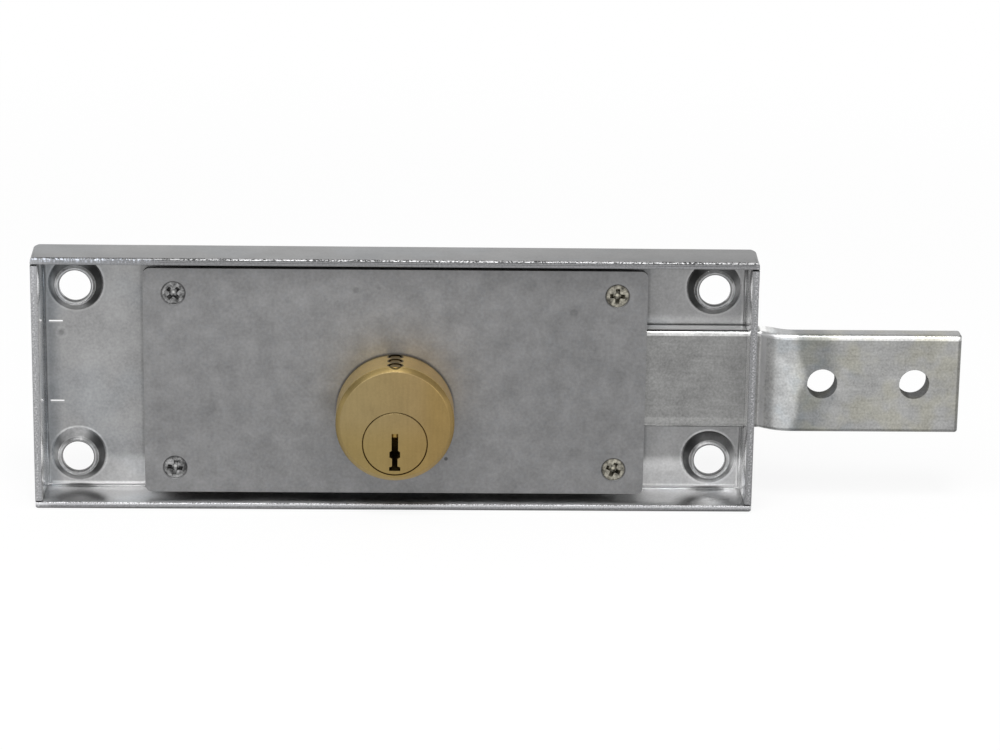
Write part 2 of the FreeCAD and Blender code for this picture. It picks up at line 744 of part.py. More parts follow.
def build_bolt():
    body = new_body("bolt_bar")
    side = new_sketch(body, "side", "XY_Plane")
    draw_bar_side(side)
    pad(side, "bar", s.bar_width, side="Symmetric")
    end = (half_length + s.bar_reach).value
    edge_height = s.bar_width.value / 2

    def is_outer_corner(edge):
        box = edge.BoundBox
        return is_near(box.XMin, end) and is_near(box.ZLength, 0) and is_near(
            abs(box.ZMin), edge_height)

    def is_long_edge(edge):
        box = edge.BoundBox
        return is_near(box.ZLength, 0) and is_near(abs(box.ZMin), edge_height) and (
            box.XLength > 0.1)

    round_edges(body, "corners", s.bar_corner, is_outer_corner)
    round_edges(body, "edges", s.bar_edge, is_long_edge)
    add_rack(body)
    add_bar_holes(body)
    keep(body, "bolt_bar")


def build_guide_stud():
    """A shouldered stud in the bar's slot, riveted into the floor."""
    body = new_body("tail_guide_stud")
    place = (-s.track_place, 0, s.track_height)
    turned = new_sketch(body, "turned", "XY_Plane", place)
    under = -(bar_front + s.slide_gap)
    top = under - s.stud_cap
    head, shank, foot = s.stud_head / 2, s.stud_width / 2, s.foot_width / 2
    chamfer = s.stud_cap / 3
    draw_outline(
        turned, (0, 0), (0, top), (head - chamfer, top), (head, top + chamfer), (head, under),
        (shank, under), (shank, -s.case_sheet), (foot, -s.case_sheet), (foot, 0))
    revolve(turned, "turned")
    keep(body, "tail_guide_stud")


def build_keeper():
    """A bridge over the bar that holds it against the case's floor, and its two rivets."""
    body = new_body("bolt_keeper")
    place = (0, 0, s.keeper_place - s.keeper_width / 2)
    bridge = new_sketch(body, "bridge", "YZ_Plane", place)
    floor, foot_top = -s.case_sheet, -(s.case_sheet + s.keeper_sheet)
    under = -(bar_front + s.slide_gap)
    top = under - s.keeper_sheet
    leg = keeper_inside + s.keeper_sheet
    toe = leg + s.keeper_foot
    draw_outline(
        bridge,
        (floor, keeper_inside), (floor, toe), (foot_top, toe), (foot_top, leg), (top, leg),
        (top, -leg), (foot_top, -leg), (foot_top, -toe), (floor, -toe), (floor, -keeper_inside),
        (under, -keeper_inside), (under, keeper_inside))
    pad(bridge, "bridge", s.keeper_width)
    shoulder = top.value
    width = leg.value
    round_edges(body, "shoulders", s.keeper_sheet, lambda edge: (
        is_near(edge.BoundBox.YMax, shoulder) and is_near(edge.BoundBox.ZLength, 0)
        and is_near(abs(edge.BoundBox.ZMin), width)))
    holes = new_sketch(body, "holes", "XZ_Plane", (0, 0, s.case_sheet / 2))
    draw_circle(holes, s.keeper_place, keeper_rivet, screw_hole)
    draw_circle(holes, s.keeper_place, -keeper_rivet, screw_hole)
    pocket(holes, "holes", s.keeper_sheet * 3, backwards=True)
    keep(body, "bolt_keeper")

    rivet = new_body("keeper_rivet")
    turned = new_sketch(rivet, "turned", "XY_Plane", (s.keeper_place, 0, keeper_rivet))
    shank = s.screw_thread / 2
    head_top = foot_top - s.rivet_cap
    draw_outline(
        turned, (0, 0), (0, head_top), (s.rivet_top / 2, head_top), (s.rivet_head / 2, foot_top),
        (shank, foot_top), (shank, 0))
    revolve(turned, "turned")
    lower = mirrored(rivet, "keeper_rivet_low", FreeCAD.Vector(0, 0, 1))
    keep_group("keeper_rivets", [rivet, lower])


# Lock cylinder

def pin_level(index):
    return front_level - s.pin_first - s.pin_pitch * index


def build_shell():
    """A round brass body in front of the cover, with the plug housing and the pin tower
    reaching back through it."""
    body = new_body("cylinder_shell")
    nose = new_sketch(body, "nose", "XY_Plane", (0, 0, -s.shell_drop))
    draw_outline(
        nose, (0, -s.cover_level), (0, -front_level), (shell_radius - s.nose_chamfer, -front_level),
        (shell_radius, s.nose_chamfer - front_level), (shell_radius, -s.cover_level))
    revolve(nose, "nose")

    rear = new_sketch(body, "rear", "XZ_Plane", (0, -plug_drop, shell_rear))
    draw_spigot(rear, s.tower_width / 2, s.housing_width / 2, tower_crown)
    pad(rear, "rear", s.cover_level - shell_rear + s.nose_chamfer)

    bore = new_sketch(body, "bore", "XZ_Plane", (0, -plug_drop, front_level))
    draw_circle(bore, 0, 0, bore_radius * 2)
    pocket(bore, "bore", front_level)
    seat = new_sketch(body, "seat", "XZ_Plane", (0, -plug_drop, front_level))
    draw_circle(seat, 0, 0, s.plug_head + s.fit_gap * 2)
    pocket(seat, "seat", s.head_thick)

    chambers = new_sketch(body, "chambers", "XY_Plane", (0, 0, -plug_drop))
    for index in range(PIN_COUNT):
        draw_circle(chambers, 0, -pin_level(index), chamber_radius * 2)
    pocket(chambers, "chambers", s.shell_width, backwards=True)

    threads = new_sketch(body, "threads", "XZ_Plane", (0, 0, s.cover_level))
    for side in SIDES:
        draw_circle(threads, side * s.fixing_place, -s.fixing_drop, screw_hole)
    pocket(threads, "threads", s.fixing_length, backwards=True)
    keep(body, "cylinder_shell")


def build_plug():
    """The turning plug, with its keyway, pin chambers, neck and blade slot."""
    body = new_body("plug")
    turned = new_sketch(body, "turned", "XY_Plane", (0, 0, -plug_drop))
    head, width = s.plug_head / 2, s.plug_width / 2
    seat = front_level - s.head_thick + s.fit_gap
    draw_outline(
        turned,
        (0, -front_level), (head - s.head_chamfer, -front_level),
        (head, s.head_chamfer - front_level), (head, -seat), (width, -seat),
        (width, -shell_rear), (s.neck_width / 2, -shell_rear), (s.neck_width / 2, -neck_back),
        (0, -neck_back))
    revolve(turned, "turned")

    for index in range(PIN_COUNT):
        place = (0, -plug_drop, pin_level(index))
        chamber = new_sketch(body, f"chamber_{index + 1}", "XZ_Plane", place)
        draw_outline(
            chamber, (0, -s.chamber_floor), (chamber_radius, chamber_radius - s.chamber_floor),
            (chamber_radius, width * 1.1), (0, width * 1.1))
        groove(chamber, f"chamber_{index + 1}")

    # The keyway: an upright slot with a rib space half-way and a wider foot.
    key = new_sketch(body, "keyway", "XZ_Plane", (0, -plug_drop, front_level))
    slot, bulge, neck, foot = 0.7, 1.15, 0.6, 1.2
    top, bulge_top, bulge_low, foot_top, bottom = 2.25, -1.5, -3.3, -5.0, -6.0
    draw_outline(
        key,
        (slot, top), (-slot, top), (-slot, bulge_top), (-bulge, bulge_top - 0.3),
        (-bulge, bulge_low + 0.3), (-neck, bulge_low), (-neck, foot_top), (-foot, foot_top - 0.2),
        (-foot, bottom), (foot, bottom), (foot, foot_top - 0.2), (neck, foot_top),
        (neck, bulge_low), (bulge, bulge_low + 0.3), (bulge, bulge_top - 0.3), (slot, bulge_top))
    pocket(key, "keyway", s.key_depth)

    slot_for_blade = new_sketch(body, "blade_slot", "XZ_Plane", (0, -plug_drop, neck_back))
    far, high = s.blade_width / 2 + s.fit_gap, s.blade_thick / 2 + s.fit_gap
    draw_rectangle(slot_for_blade, -far, -high, far, high)
    pocket(slot_for_blade, "blade_slot", s.blade_seat, backwards=True)
    keep(body, "plug")


def build_pin_stacks():
    """Key pin, driver pin, spring and chamber plug of each chamber, with the pins parted at
    the plug's surface as the right key holds them. The last chamber opens on the lower tower."""
    radius = s.pin_width / 2
    tips = (s.pin_tip_1, s.pin_tip_2, s.pin_tip_3, s.pin_tip_4)
    edge = radius - s.pin_chamfer
    key_top = side_of_circle(s.plug_width / 2, edge) - s.fit_gap / 2
    driver_low = bore_radius + s.fit_gap / 2
    driver_top = driver_low + s.driver_length
    stopper_low = s.plug_offset + shell_radius - s.stopper_recess - s.stopper_length
    stoppers = []
    for index, tip in enumerate(tips):
        number = index + 1
        place = (0, -plug_drop, pin_level(index))
        key_pin = new_body(f"key_pin_{number}")
        turned = new_sketch(key_pin, "turned", "XZ_Plane", place)
        draw_outline(
            turned, (0, tip), (radius - s.pin_taper, tip), (radius, tip + s.pin_taper),
            (radius, key_top - s.pin_chamfer), (edge, key_top), (0, key_top))
        revolve(turned, "turned")
        keep(key_pin, f"key_pin_{number}")

        driver = new_body(f"driver_pin_{number}")
        turned = new_sketch(driver, "turned", "XZ_Plane", place)
        draw_outline(
            turned, (0, driver_low), (edge, driver_low), (radius, driver_low + s.pin_chamfer),
            (radius, driver_top), (0, driver_top))
        revolve(turned, "turned")
        keep(driver, f"driver_pin_{number}")

        build_spring(number, driver_top.value, stopper_low.value, pin_level(index).value)

        crown = tower_crown if number == PIN_COUNT else shell_radius
        stopper_top = s.plug_offset + crown - s.stopper_recess
        stopper = new_body(f"chamber_plug_{number}")
        turned = new_sketch(stopper, "turned", "XZ_Plane", place)
        draw_outline(
            turned, (0, stopper_low), (radius, stopper_low), (radius, stopper_top - s.pin_chamfer),
            (edge, stopper_top), (0, stopper_top))
        revolve(turned, "turned")
        stoppers.append(stopper)
    keep_group("chamber_plugs", stoppers)


def build_spring(number, low, high, level):
    """A coil between the driver pin and the chamber plug, lofted through square wire sections."""
    wire = s.spring_wire.value
    outer = s.spring_width.value / 2
    inner = outer - wire
    bottom = low + s.fit_gap.value
    rise = high - low - wire - s.fit_gap.value * 2
    steps = round(s.spring_turns.value * COIL_STEPS)
    sections = []
    for step in range(steps + 1):
        angle = 2 * math.pi * step / COIL_STEPS
        under = bottom + rise * step / steps
        corners = [FreeCAD.Vector(reach * math.cos(angle), reach * math.sin(angle), height)
                   for reach, height in ((inner, under), (outer, under), (outer, under + wire),
                                         (inner, under + wire))]
        sections.append(Part.makePolygon([*corners, corners[0]]))
    coil = document.addObject("Part::Feature", f"pin_spring_{number}")
    coil.Shape = Part.makeLoft(sections, True, True)
    coil.Placement = FreeCAD.Placement(FreeCAD.Vector(0, -level, -plug_drop.value), FreeCAD.Rotation())
    keep(coil, f"pin_spring_{number}")


def build_cylinder_screws():
    """Two pan-head screws from behind the cover into the cylinder's shoulder."""
    body = new_body("cylinder_screw")
    turned = new_sketch(body, "turned", "XY_Plane", (s.fixing_place, 0, -s.fixing_drop))
    head, thread = s.fixing_head / 2, s.screw_thread / 2
    back = s.fixing_cap - cover_rear
    chamfer = s.fixing_cap / 4
    end = -(cover_rear + s.fixing_length)
    draw_outline(
        turned, (0, back), (head - chamfer, back), (head, back - chamfer), (head, -cover_rear),
        (thread, -cover_rear), (thread, end), (0, end))
    revolve(turned, "turned")
    place = (s.fixing_place, -s.fixing_drop, cover_rear - s.fixing_cap)
    recess = new_sketch(body, "recess", "XZ_Plane", place)
    draw_cross(recess, s.cross_length, s.cross_width)
    pocket(recess, "recess", s.cross_depth, backwards=True)
    keep_group("cylinder_screws", [body, mirrored(body, "cylinder_screw_left", FreeCAD.Vector(1, 0, 0))])


def build_retainer():
    """A slotted push-on ring on the plug's neck, behind the shell."""
    body = new_body("plug_retainer")
    ring = new_sketch(body, "ring", "XZ_Plane", (0, -plug_drop, retainer_back))
    draw_circle(ring, 0, 0, s.retainer_width)
    draw_circle(ring, 0, 0, s.neck_width + s.fit_gap * 2)
    pad(ring, "ring", s.retainer_thick)
    slots = new_sketch(body, "slots", "XZ_Plane", (0, -plug_drop, retainer_back))
    draw_cross(slots, s.retainer_reach * 2, s.retainer_slot)
    pocket(slots, "slots", s.retainer_thick * 4, side="Symmetric")
    keep(body, "plug_retainer")


# Drive from the plug to the bolt bar

def tooth_gap(body):
    """A gap between two pinion teeth, with involute flanks drawn as arcs, left of the tooth
    that points straight up."""
    module, teeth = s.gear_module.value, s.pinion_teeth.value
    angle = math.radians(s.pressure_angle.value)
    pitch = pitch_radius.value
    base = pitch * math.cos(angle)
    floor = pitch - module * s.tooth_dedendum.value
    tooth = (math.pi * module / 2 - s.backlash.value / 2) / pitch

    def half_gap_at(radius):
        turned = math.acos(min(base / radius, 1.0))
        grown = (math.tan(turned) - turned) - (math.tan(angle) - angle)
        return math.pi / teeth - tooth / 2 + grown

    def on_flank(radius, side):
        swing = math.pi / 2 + math.pi / teeth + side * half_gap_at(radius)
        return FreeCAD.Vector(radius * math.cos(swing), radius * math.sin(swing), 0)

    def at_floor(side):
        swing = math.pi / 2 + math.pi / teeth + side * half_gap_at(base)
        return FreeCAD.Vector(floor * math.cos(swing), floor * math.sin(swing), 0)

    rim = tip_radius.value + module / 4
    middle = (base + rim) / 2
    corners = [on_flank(rim, 1), on_flank(base, 1), at_floor(1), at_floor(-1), on_flank(base, -1),
               on_flank(rim, -1)]
    gap = new_sketch(body, "gap", "XZ_Plane", (0, -plug_drop, bar_back))
    gap.addGeometry(Part.Arc(corners[0], on_flank(middle, 1), corners[1]), False)
    gap.addGeometry(Part.LineSegment(corners[1], corners[2]), False)
    gap.addGeometry(Part.LineSegment(corners[2], corners[3]), False)
    gap.addGeometry(Part.LineSegment(corners[3], corners[4]), False)
    gap.addGeometry(Part.Arc(corners[4], on_flank(middle, -1), corners[5]), False)
    gap.addGeometry(Part.LineSegment(corners[5], corners[0]), False)
    return gap


def build_pinion():
    body = new_body("drive_pinion")
    wheel = new_sketch(body, "wheel", "XZ_Plane", (0, -plug_drop, bar_back))
    draw_circle(wheel, 0, 0, tip_radius * 2)
    pad(wheel, "wheel", s.pinion_width)
    gap = tooth_gap(body)
    cut = pocket(gap, "gap", s.pinion_width * 4, side="Symmetric")
    ring_of(body, "gaps", cut, gap, s.pinion_teeth)
    journal = new_sketch(body, "journal", "XZ_Plane", (0, -plug_drop, bar_back))
    draw_circle(journal, 0, 0, s.journal_width)
    pad(journal, "journal", bar_back - s.slide_gap, backwards=True)
    slot = new_sketch(body, "slot", "XZ_Plane", (0, -plug_drop, pinion_front))
    far, high = s.blade_width / 2 + s.fit_gap, s.blade_thick / 2 + s.fit_gap
    draw_rectangle(slot, -far, -high, far, high)
    pocket(slot, "slot", s.pinion_width)
    keep(body, "drive_pinion")

    bush = new_body("pinion_bush")
    ring = new_sketch(bush, "ring", "XZ_Plane", (0, -plug_drop, 0))
    draw_circle(ring, 0, 0, s.bush_width)
    draw_circle(ring, 0, 0, s.journal_width + s.fit_gap * 2)
    pad(ring, "ring", s.case_sheet)
    keep(bush, "pinion_bush")


def build_blade():
    """The flat blade that carries the plug's turn to the pinion."""
    blade = document.addObject("Part::Box", "drive_blade")
    seat = neck_back + s.blade_seat - s.fit_gap
    bind(blade, "Length", s.blade_width)
    bind(blade, "Width", seat - bar_back - s.slide_gap)
    bind(blade, "Height", s.blade_thick)
    blade.setExpression("Placement.Base.x", (-s.blade_width / 2).formula)
    blade.setExpression("Placement.Base.y", (-seat).formula)
    blade.setExpression("Placement.Base.z", (-plug_drop - s.blade_thick / 2).formula)
    keep(blade, "drive_blade")


def check_and_write():
    document.recompute()
    for item in document.Objects:
        if "Invalid" in item.State or "Error" in item.State:
            raise ValueError(f"{item.Label} is {item.State}")
    os.makedirs("parts", exist_ok=True)
    for label, item in nodes.items():
        shape = item.Shape
        if shape.isNull() or not shape.isValid() or shape.Volume < SOLID_LIMIT:
            raise ValueError(f"{label} has no sound solid")
        shape.exportStep(f"parts/{label}.step")
        box = shape.BoundBox
        print(f"{label}: {len(shape.Solids)} solids, {shape.Volume:.2f} mm3, "
              f"x {box.XMin:.2f} {box.XMax:.2f}, y {box.YMin:.2f} {box.YMax:.2f}, "
              f"z {box.ZMin:.2f} {box.ZMax:.2f}")
    print(f"{len(nodes)} nodes, bolt throw {throw.value:.3f} mm for one turn of the key")


build_tray()
build_cover()
build_pillars()
build_cover_screws()
build_bolt()
build_guide_stud()
build_keeper()
build_shell()
build_plug()
build_pin_stacks()
build_cylinder_screws()
build_retainer()
build_pinion()
build_blade()
check_and_write()
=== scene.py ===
"""Finishes, small details and stage of a roller shutter lock, laid out as an add-on."""

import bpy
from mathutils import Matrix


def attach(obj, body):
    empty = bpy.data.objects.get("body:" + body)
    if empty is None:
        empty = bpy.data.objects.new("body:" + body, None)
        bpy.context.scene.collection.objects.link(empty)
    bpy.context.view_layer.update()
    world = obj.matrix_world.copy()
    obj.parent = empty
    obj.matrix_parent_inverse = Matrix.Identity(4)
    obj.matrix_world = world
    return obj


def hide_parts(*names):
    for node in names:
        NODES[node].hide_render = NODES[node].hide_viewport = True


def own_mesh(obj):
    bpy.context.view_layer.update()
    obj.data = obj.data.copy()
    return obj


bl_info = {
    "name": "Roller Shutter Lock",
    "version": (1, 0, 0),
    "blender": (4, 5, 0),
    "location": "3D View > Sidebar > Shutter Lock",
    "description": "Finishes, details and stage of a roller shutter lock",
    "category": "Object",
}

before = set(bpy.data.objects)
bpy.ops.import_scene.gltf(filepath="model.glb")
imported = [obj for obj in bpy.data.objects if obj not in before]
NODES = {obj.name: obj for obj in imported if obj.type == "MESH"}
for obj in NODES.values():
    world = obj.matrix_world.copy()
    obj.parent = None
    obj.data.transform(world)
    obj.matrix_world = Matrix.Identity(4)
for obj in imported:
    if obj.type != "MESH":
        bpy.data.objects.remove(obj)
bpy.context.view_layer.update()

import math

import bpy
from mathutils import Matrix, Vector

MM = 0.001
PIN_NUMBERS = range(1, 5)

# Places and sizes that the details share with the solids, in millimetres. The case's back lies at
# Y 0 and its open front at negative Y. A pair is a place along X and Z.
CASE_HALF = 77.5
CASE_TOP = 28.0
CASE_RIM = -14.0
HOLE_PLACE = (69.0, 19.25)
HOLE_RADIUS = 3.4
CROWN_FRONT = -4.0
COVER_FRONT = -10.5
SCREW_PLACE = (47.5, 19.5)
SCREW_END = -2.5
THREAD_RADIUS = 1.5
SHELL_AXIS = -6.4
SHELL_RADIUS = 12.7
SHELL_FRONT = -21.0
NOSE_CHAMFER = 1.0
CHAMBER_PLACES = (-18.8, -15.5, -12.2)
ROD_PLACES = (92.4, 112.4)
ROD_RADIUS = 3.25

# A cover screw's head, in millimetres: how deep its flat face, its middle circle and its widest
# circle lie below the cover's front, and how much smaller than the widest the middle circle is.
FACE_SUNK = 0.04
MIDDLE_SUNK = 0.16
HEAD_SUNK = 0.3
MIDDLE_LESS = 0.08

# The cutters of a screw's cross recess: how far they stand out of the head in millimetres, what
# their arms taper to, and the widths of the pointed middle in parts of an arm's width.
CUTTER_SPARE = 0.2
ARM_TAPER = (0.45, 0.6)
POINT_WIDTHS = (1.35, 0.3)

# Where the walls are cut across before their ends are rounded, in millimetres. Behind the cut
# their outline goes on nearly straight in short edges, which would hold the rounding back.
WALL_CUT = -6.0

# Marks on the finishes, in millimetres. The dent's place is the middle of a dark spot and a light
# ring, painted shade and painted light for a small dent in the case's floor. Each mark on the
# cover has its place, radius and depth of tone. Each pool of painted shade on the bottom wall,
# under the collars, has its centre and reach along X and its depth of tone, and all of them share
# their centre and reach along Y.
PAINTED_DENT_PLACE = (-72.3, 8.2)
COVER_MARKS = ((11.1, -17.2, 0.55, 0.55), (-8.5, 20.5, 0.9, 0.2), (38.2, 15.8, 1.1, 0.16),
               (-3.6, 20.9, 0.5, 0.16))
SILL_SHADE_POOLS = ((-68.0, 6.5, 0.62), (64.0, 4.0, 0.4), (75.0, 4.5, 0.5))
POOL_CENTRE = -11.5
POOL_REACH = 6.0

# Colours that are laid over a finish, among them painted highlights, and tints that are multiplied
# into one.
CUT_GREY = (0.34, 0.342, 0.35)
CREST_HIGHLIGHT = (0.95, 0.95, 0.96)
SIDE_RIM_HIGHLIGHT = (0.8, 0.8, 0.82)
BLUE_TICK = (0.72, 0.77, 0.87)
COOL_GREY = (0.44, 0.46, 0.5)
SCREW_GLINT = (0.7, 0.7, 0.68)
SPRING_GREY = (0.24, 0.24, 0.25)
BLUE_TINT = (0.86, 0.93, 1.0)
COVER_TINT = (0.93, 0.96, 1.0)
BAR_WARM_TINT = (1.0, 0.98, 0.86)
BAR_COOL_TINT = (0.82, 0.89, 0.96)
SCREW_TINT = (1.0, 0.95, 0.8)
BRASS_RED_TINT = (1.0, 0.93, 0.88)
BRASS_PALE_TINT = (1.03, 1.06, 1.24)

# The floor: its gap below the case and the fade to plain white round the lock, in millimetres,
# and the share of plain white that the camera sees in it before the fade.
FLOOR_GAP = 0.02
FADE_START = 180.0
FADE_END = 520.0
FLOOR_GLOW = 0.87

# The camera that a fit to the photograph's edges gave, in metres and in the lock's own frame.
CAMERA_PLACE = (-0.000615, -0.71949, 0.208007)
CAMERA_RIGHT = Vector((0.99948695, -0.02828834, 0.01502051))
CAMERA_UP = Vector((-0.00652, 0.27944791, 0.96013872))
CAMERA_AHEAD = Vector((0.03135817, 0.95974405, -0.2791201))
CAMERA_LENS = 123.43
SENSOR_WIDTH = 36.0


# Settings

class StageSettings(bpy.types.PropertyGroup):
    """The floor, the lamps and the light from all round"""
    floor_colour: bpy.props.FloatVectorProperty(
        name="Floor Colour", description="Colour of the floor", subtype="COLOR", size=3,
        min=0.0, max=1.0, default=(0.88, 0.88, 0.88))
    floor_size: bpy.props.FloatProperty(
        name="Floor Size", description="Width of the square floor", unit="LENGTH", default=6.0)
    key_power: bpy.props.FloatProperty(
        name="Key Power", description="Power of the large lamp above the left front",
        unit="POWER", default=10.0)
    fill_power: bpy.props.FloatProperty(
        name="Fill Power", description="Power of the lamp at the right front", unit="POWER",
        default=4.0)
    top_power: bpy.props.FloatProperty(
        name="Top Power", description="Power of the small lamp overhead", unit="POWER",
        default=5.0)
    sky_strength: bpy.props.FloatProperty(
        name="Sky Strength", description="Strength of the even light from all round",
        min=0.0, default=0.55)


class DetailSettings(bpy.types.PropertyGroup):
    """Sizes of the roundings and of the cover screws"""
    rim_rounding: bpy.props.FloatProperty(
        name="Rim Rounding", description="Rounding of the case's cut edges", unit="LENGTH",
        precision=5, min=0.0001, default=0.0001)
    corner_rounding: bpy.props.FloatProperty(
        name="Corner Rounding", description="Rounding of the top and bottom walls' ends",
        unit="LENGTH", precision=5, min=0.0001, default=0.0009)
    hole_rounding: bpy.props.FloatProperty(
        name="Hole Rounding", description="Rounding of the mounting holes' edges",
        unit="LENGTH", precision=5, min=0.0001, default=0.00025)
    nose_rounding: bpy.props.FloatProperty(
        name="Nose Rounding", description="Rounding along the cylinder's front chamfer",
        unit="LENGTH", precision=5, min=0.0001, default=0.00068)
    head_radius: bpy.props.FloatProperty(
        name="Head Radius", description="Radius of a cover screw's head at its widest",
        unit="LENGTH", precision=5, default=0.00255)
    face_radius: bpy.props.FloatProperty(
        name="Face Radius", description="Radius of the flat face of a cover screw's head",
        unit="LENGTH", precision=5, default=0.00215)
    recess_length: bpy.props.FloatProperty(
        name="Recess Length", description="Length of the cross recess over two arms",
        unit="LENGTH", precision=5, default=0.0036)
    recess_width: bpy.props.FloatProperty(
        name="Recess Width", description="Width of an arm of the cross recess", unit="LENGTH",
        precision=5, default=0.001)
    recess_depth: bpy.props.FloatProperty(
        name="Recess Depth", description="Depth of the cross recess", unit="LENGTH",
        precision=5, default=0.0012)


class FinishSettings(bpy.types.PropertyGroup):
    """Colours of the metals"""
    zinc_colour: bpy.props.FloatVectorProperty(
        name="Case Zinc", description="Bright zinc of the case", subtype="COLOR", size=3,
        min=0.0, max=1.0, default=(0.345, 0.345, 0.346))
    cover_colour: bpy.props.FloatVectorProperty(
        name="Cover Zinc", description="Dull zinc of the cover plate", subtype="COLOR", size=3,
        min=0.0, max=1.0, default=(0.245, 0.245, 0.247))
    bar_colour: bpy.props.FloatVectorProperty(
        name="Bar Zinc", description="Yellow passivated zinc of the bolt bar", subtype="COLOR",
        size=3, min=0.0, max=1.0, default=(0.37, 0.37, 0.365))
    steel_colour: bpy.props.FloatVectorProperty(
        name="Plain Steel", description="Steel of the inner pieces", subtype="COLOR", size=3,
        min=0.0, max=1.0, default=(0.36, 0.36, 0.36))
    screw_colour: bpy.props.FloatVectorProperty(
        name="Screw Zinc", description="Bright zinc of the screws", subtype="COLOR", size=3,
        min=0.0, max=1.0, default=(0.30, 0.30, 0.30))
    brass_colour: bpy.props.FloatVectorProperty(
        name="Brass", description="Brass of the lock cylinder", subtype="COLOR", size=3,
        min=0.0, max=1.0, default=(0.29, 0.215, 0.088))
    pin_colour: bpy.props.FloatVectorProperty(
        name="Pin Brass", description="Bright brass of the pins", subtype="COLOR", size=3,
        min=0.0, max=1.0, default=(0.30, 0.20, 0.06))
    mottle: bpy.props.FloatProperty(
        name="Mottle", description="How strongly the zinc's tone varies", min=0.0, max=1.0,
        subtype="FACTOR", default=0.5)


# Shader maths

class Term:
    """A shader socket that takes part in plain arithmetic."""

    def __init__(self, shader, socket):
        self.shader = shader
        self.socket = socket

    def joined(self, operation, *values):
        node = self.shader.node("ShaderNodeMath", {"operation": operation},
                                dict(enumerate(values)))
        return Term(self.shader, node.outputs[0])

    def __add__(self, other):
        return self.joined("ADD", self, other)

    def __radd__(self, other):
        return self.joined("ADD", other, self)

    def __sub__(self, other):
        return self.joined("SUBTRACT", self, other)

    def __rsub__(self, other):
        return self.joined("SUBTRACT", other, self)

    def __mul__(self, other):
        return self.joined("MULTIPLY", self, other)

    def __rmul__(self, other):
        return self.joined("MULTIPLY", other, self)

    def __truediv__(self, other):
        return self.joined("DIVIDE", self, other)

    def __rtruediv__(self, other):
        return self.joined("DIVIDE", other, self)

    def __abs__(self):
        return self.joined("ABSOLUTE", self)

    def sine(self):
        return self.joined("SINE", self)

    def root(self):
        return self.joined("SQRT", self)

    def at_most(self, other):
        return self.joined("MINIMUM", self, other)

    def at_least(self, other):
        return self.joined("MAXIMUM", self, other)

    def step(self, low, high):
        """From 0 at low to 1 at high, smoothly; falling where low is above high."""
        rising = low < high
        first, last = (low, high) if rising else (high, low)
        node = self.shader.node("ShaderNodeMapRange", {"interpolation_type": "SMOOTHSTEP"}, {
            "Value": self, "From Min": first, "From Max": last,
            "To Min": 0.0 if rising else 1.0, "To Max": 1.0 if rising else 0.0})
        return Term(self.shader, node.outputs["Result"])

    def within(self, start, full, fading, end):
        """1 from full to fading, and down to 0 at start and at end."""
        return self.step(start, full) * self.step(end, fading)

    def lit(self, mask, amount):
        """Lighter by an amount where the mask is 1, or darker where the amount is negative."""
        return self * (1.0 + mask * amount)


def distance(first, second):
    """The distance that two terms at a right angle make up."""
    return (first * first + second * second).root()


class Shader:
    """A node tree in the making."""

    def __init__(self, tree):
        self.tree = tree
        tree.nodes.clear()

    def node(self, kind, settings=None, inputs=None):
        """Add a node: its settings first, then a value or a link for each socket."""
        node = self.tree.nodes.new(kind)
        for name, value in (settings or {}).items():
            setattr(node, name, value)
        for key, value in (inputs or {}).items():
            socket = node.inputs[key]
            if isinstance(value, Term):
                value = value.socket
            if isinstance(value, bpy.types.NodeSocket):
                self.tree.links.new(value, socket)
            elif socket.type == "RGBA" and len(value) == 3:
                socket.default_value = (*value, 1.0)
            else:
                socket.default_value = value
        return node

    def axes(self, vector):
        """The three numbers of a vector, as terms."""
        parts = self.node("ShaderNodeSeparateXYZ", inputs={0: vector})
        return [Term(self, parts.outputs[axis]) for axis in "XYZ"]

    def seen_rays(self):
        """1 for what the camera sees, straight, in a reflection or through glass."""
        path = self.node("ShaderNodeLightPath")
        camera, glossy, clear = (Term(self, path.outputs[name]) for name in (
            "Is Camera Ray", "Is Glossy Ray", "Is Transmission Ray"))
        return camera.at_least(glossy).at_least(clear)


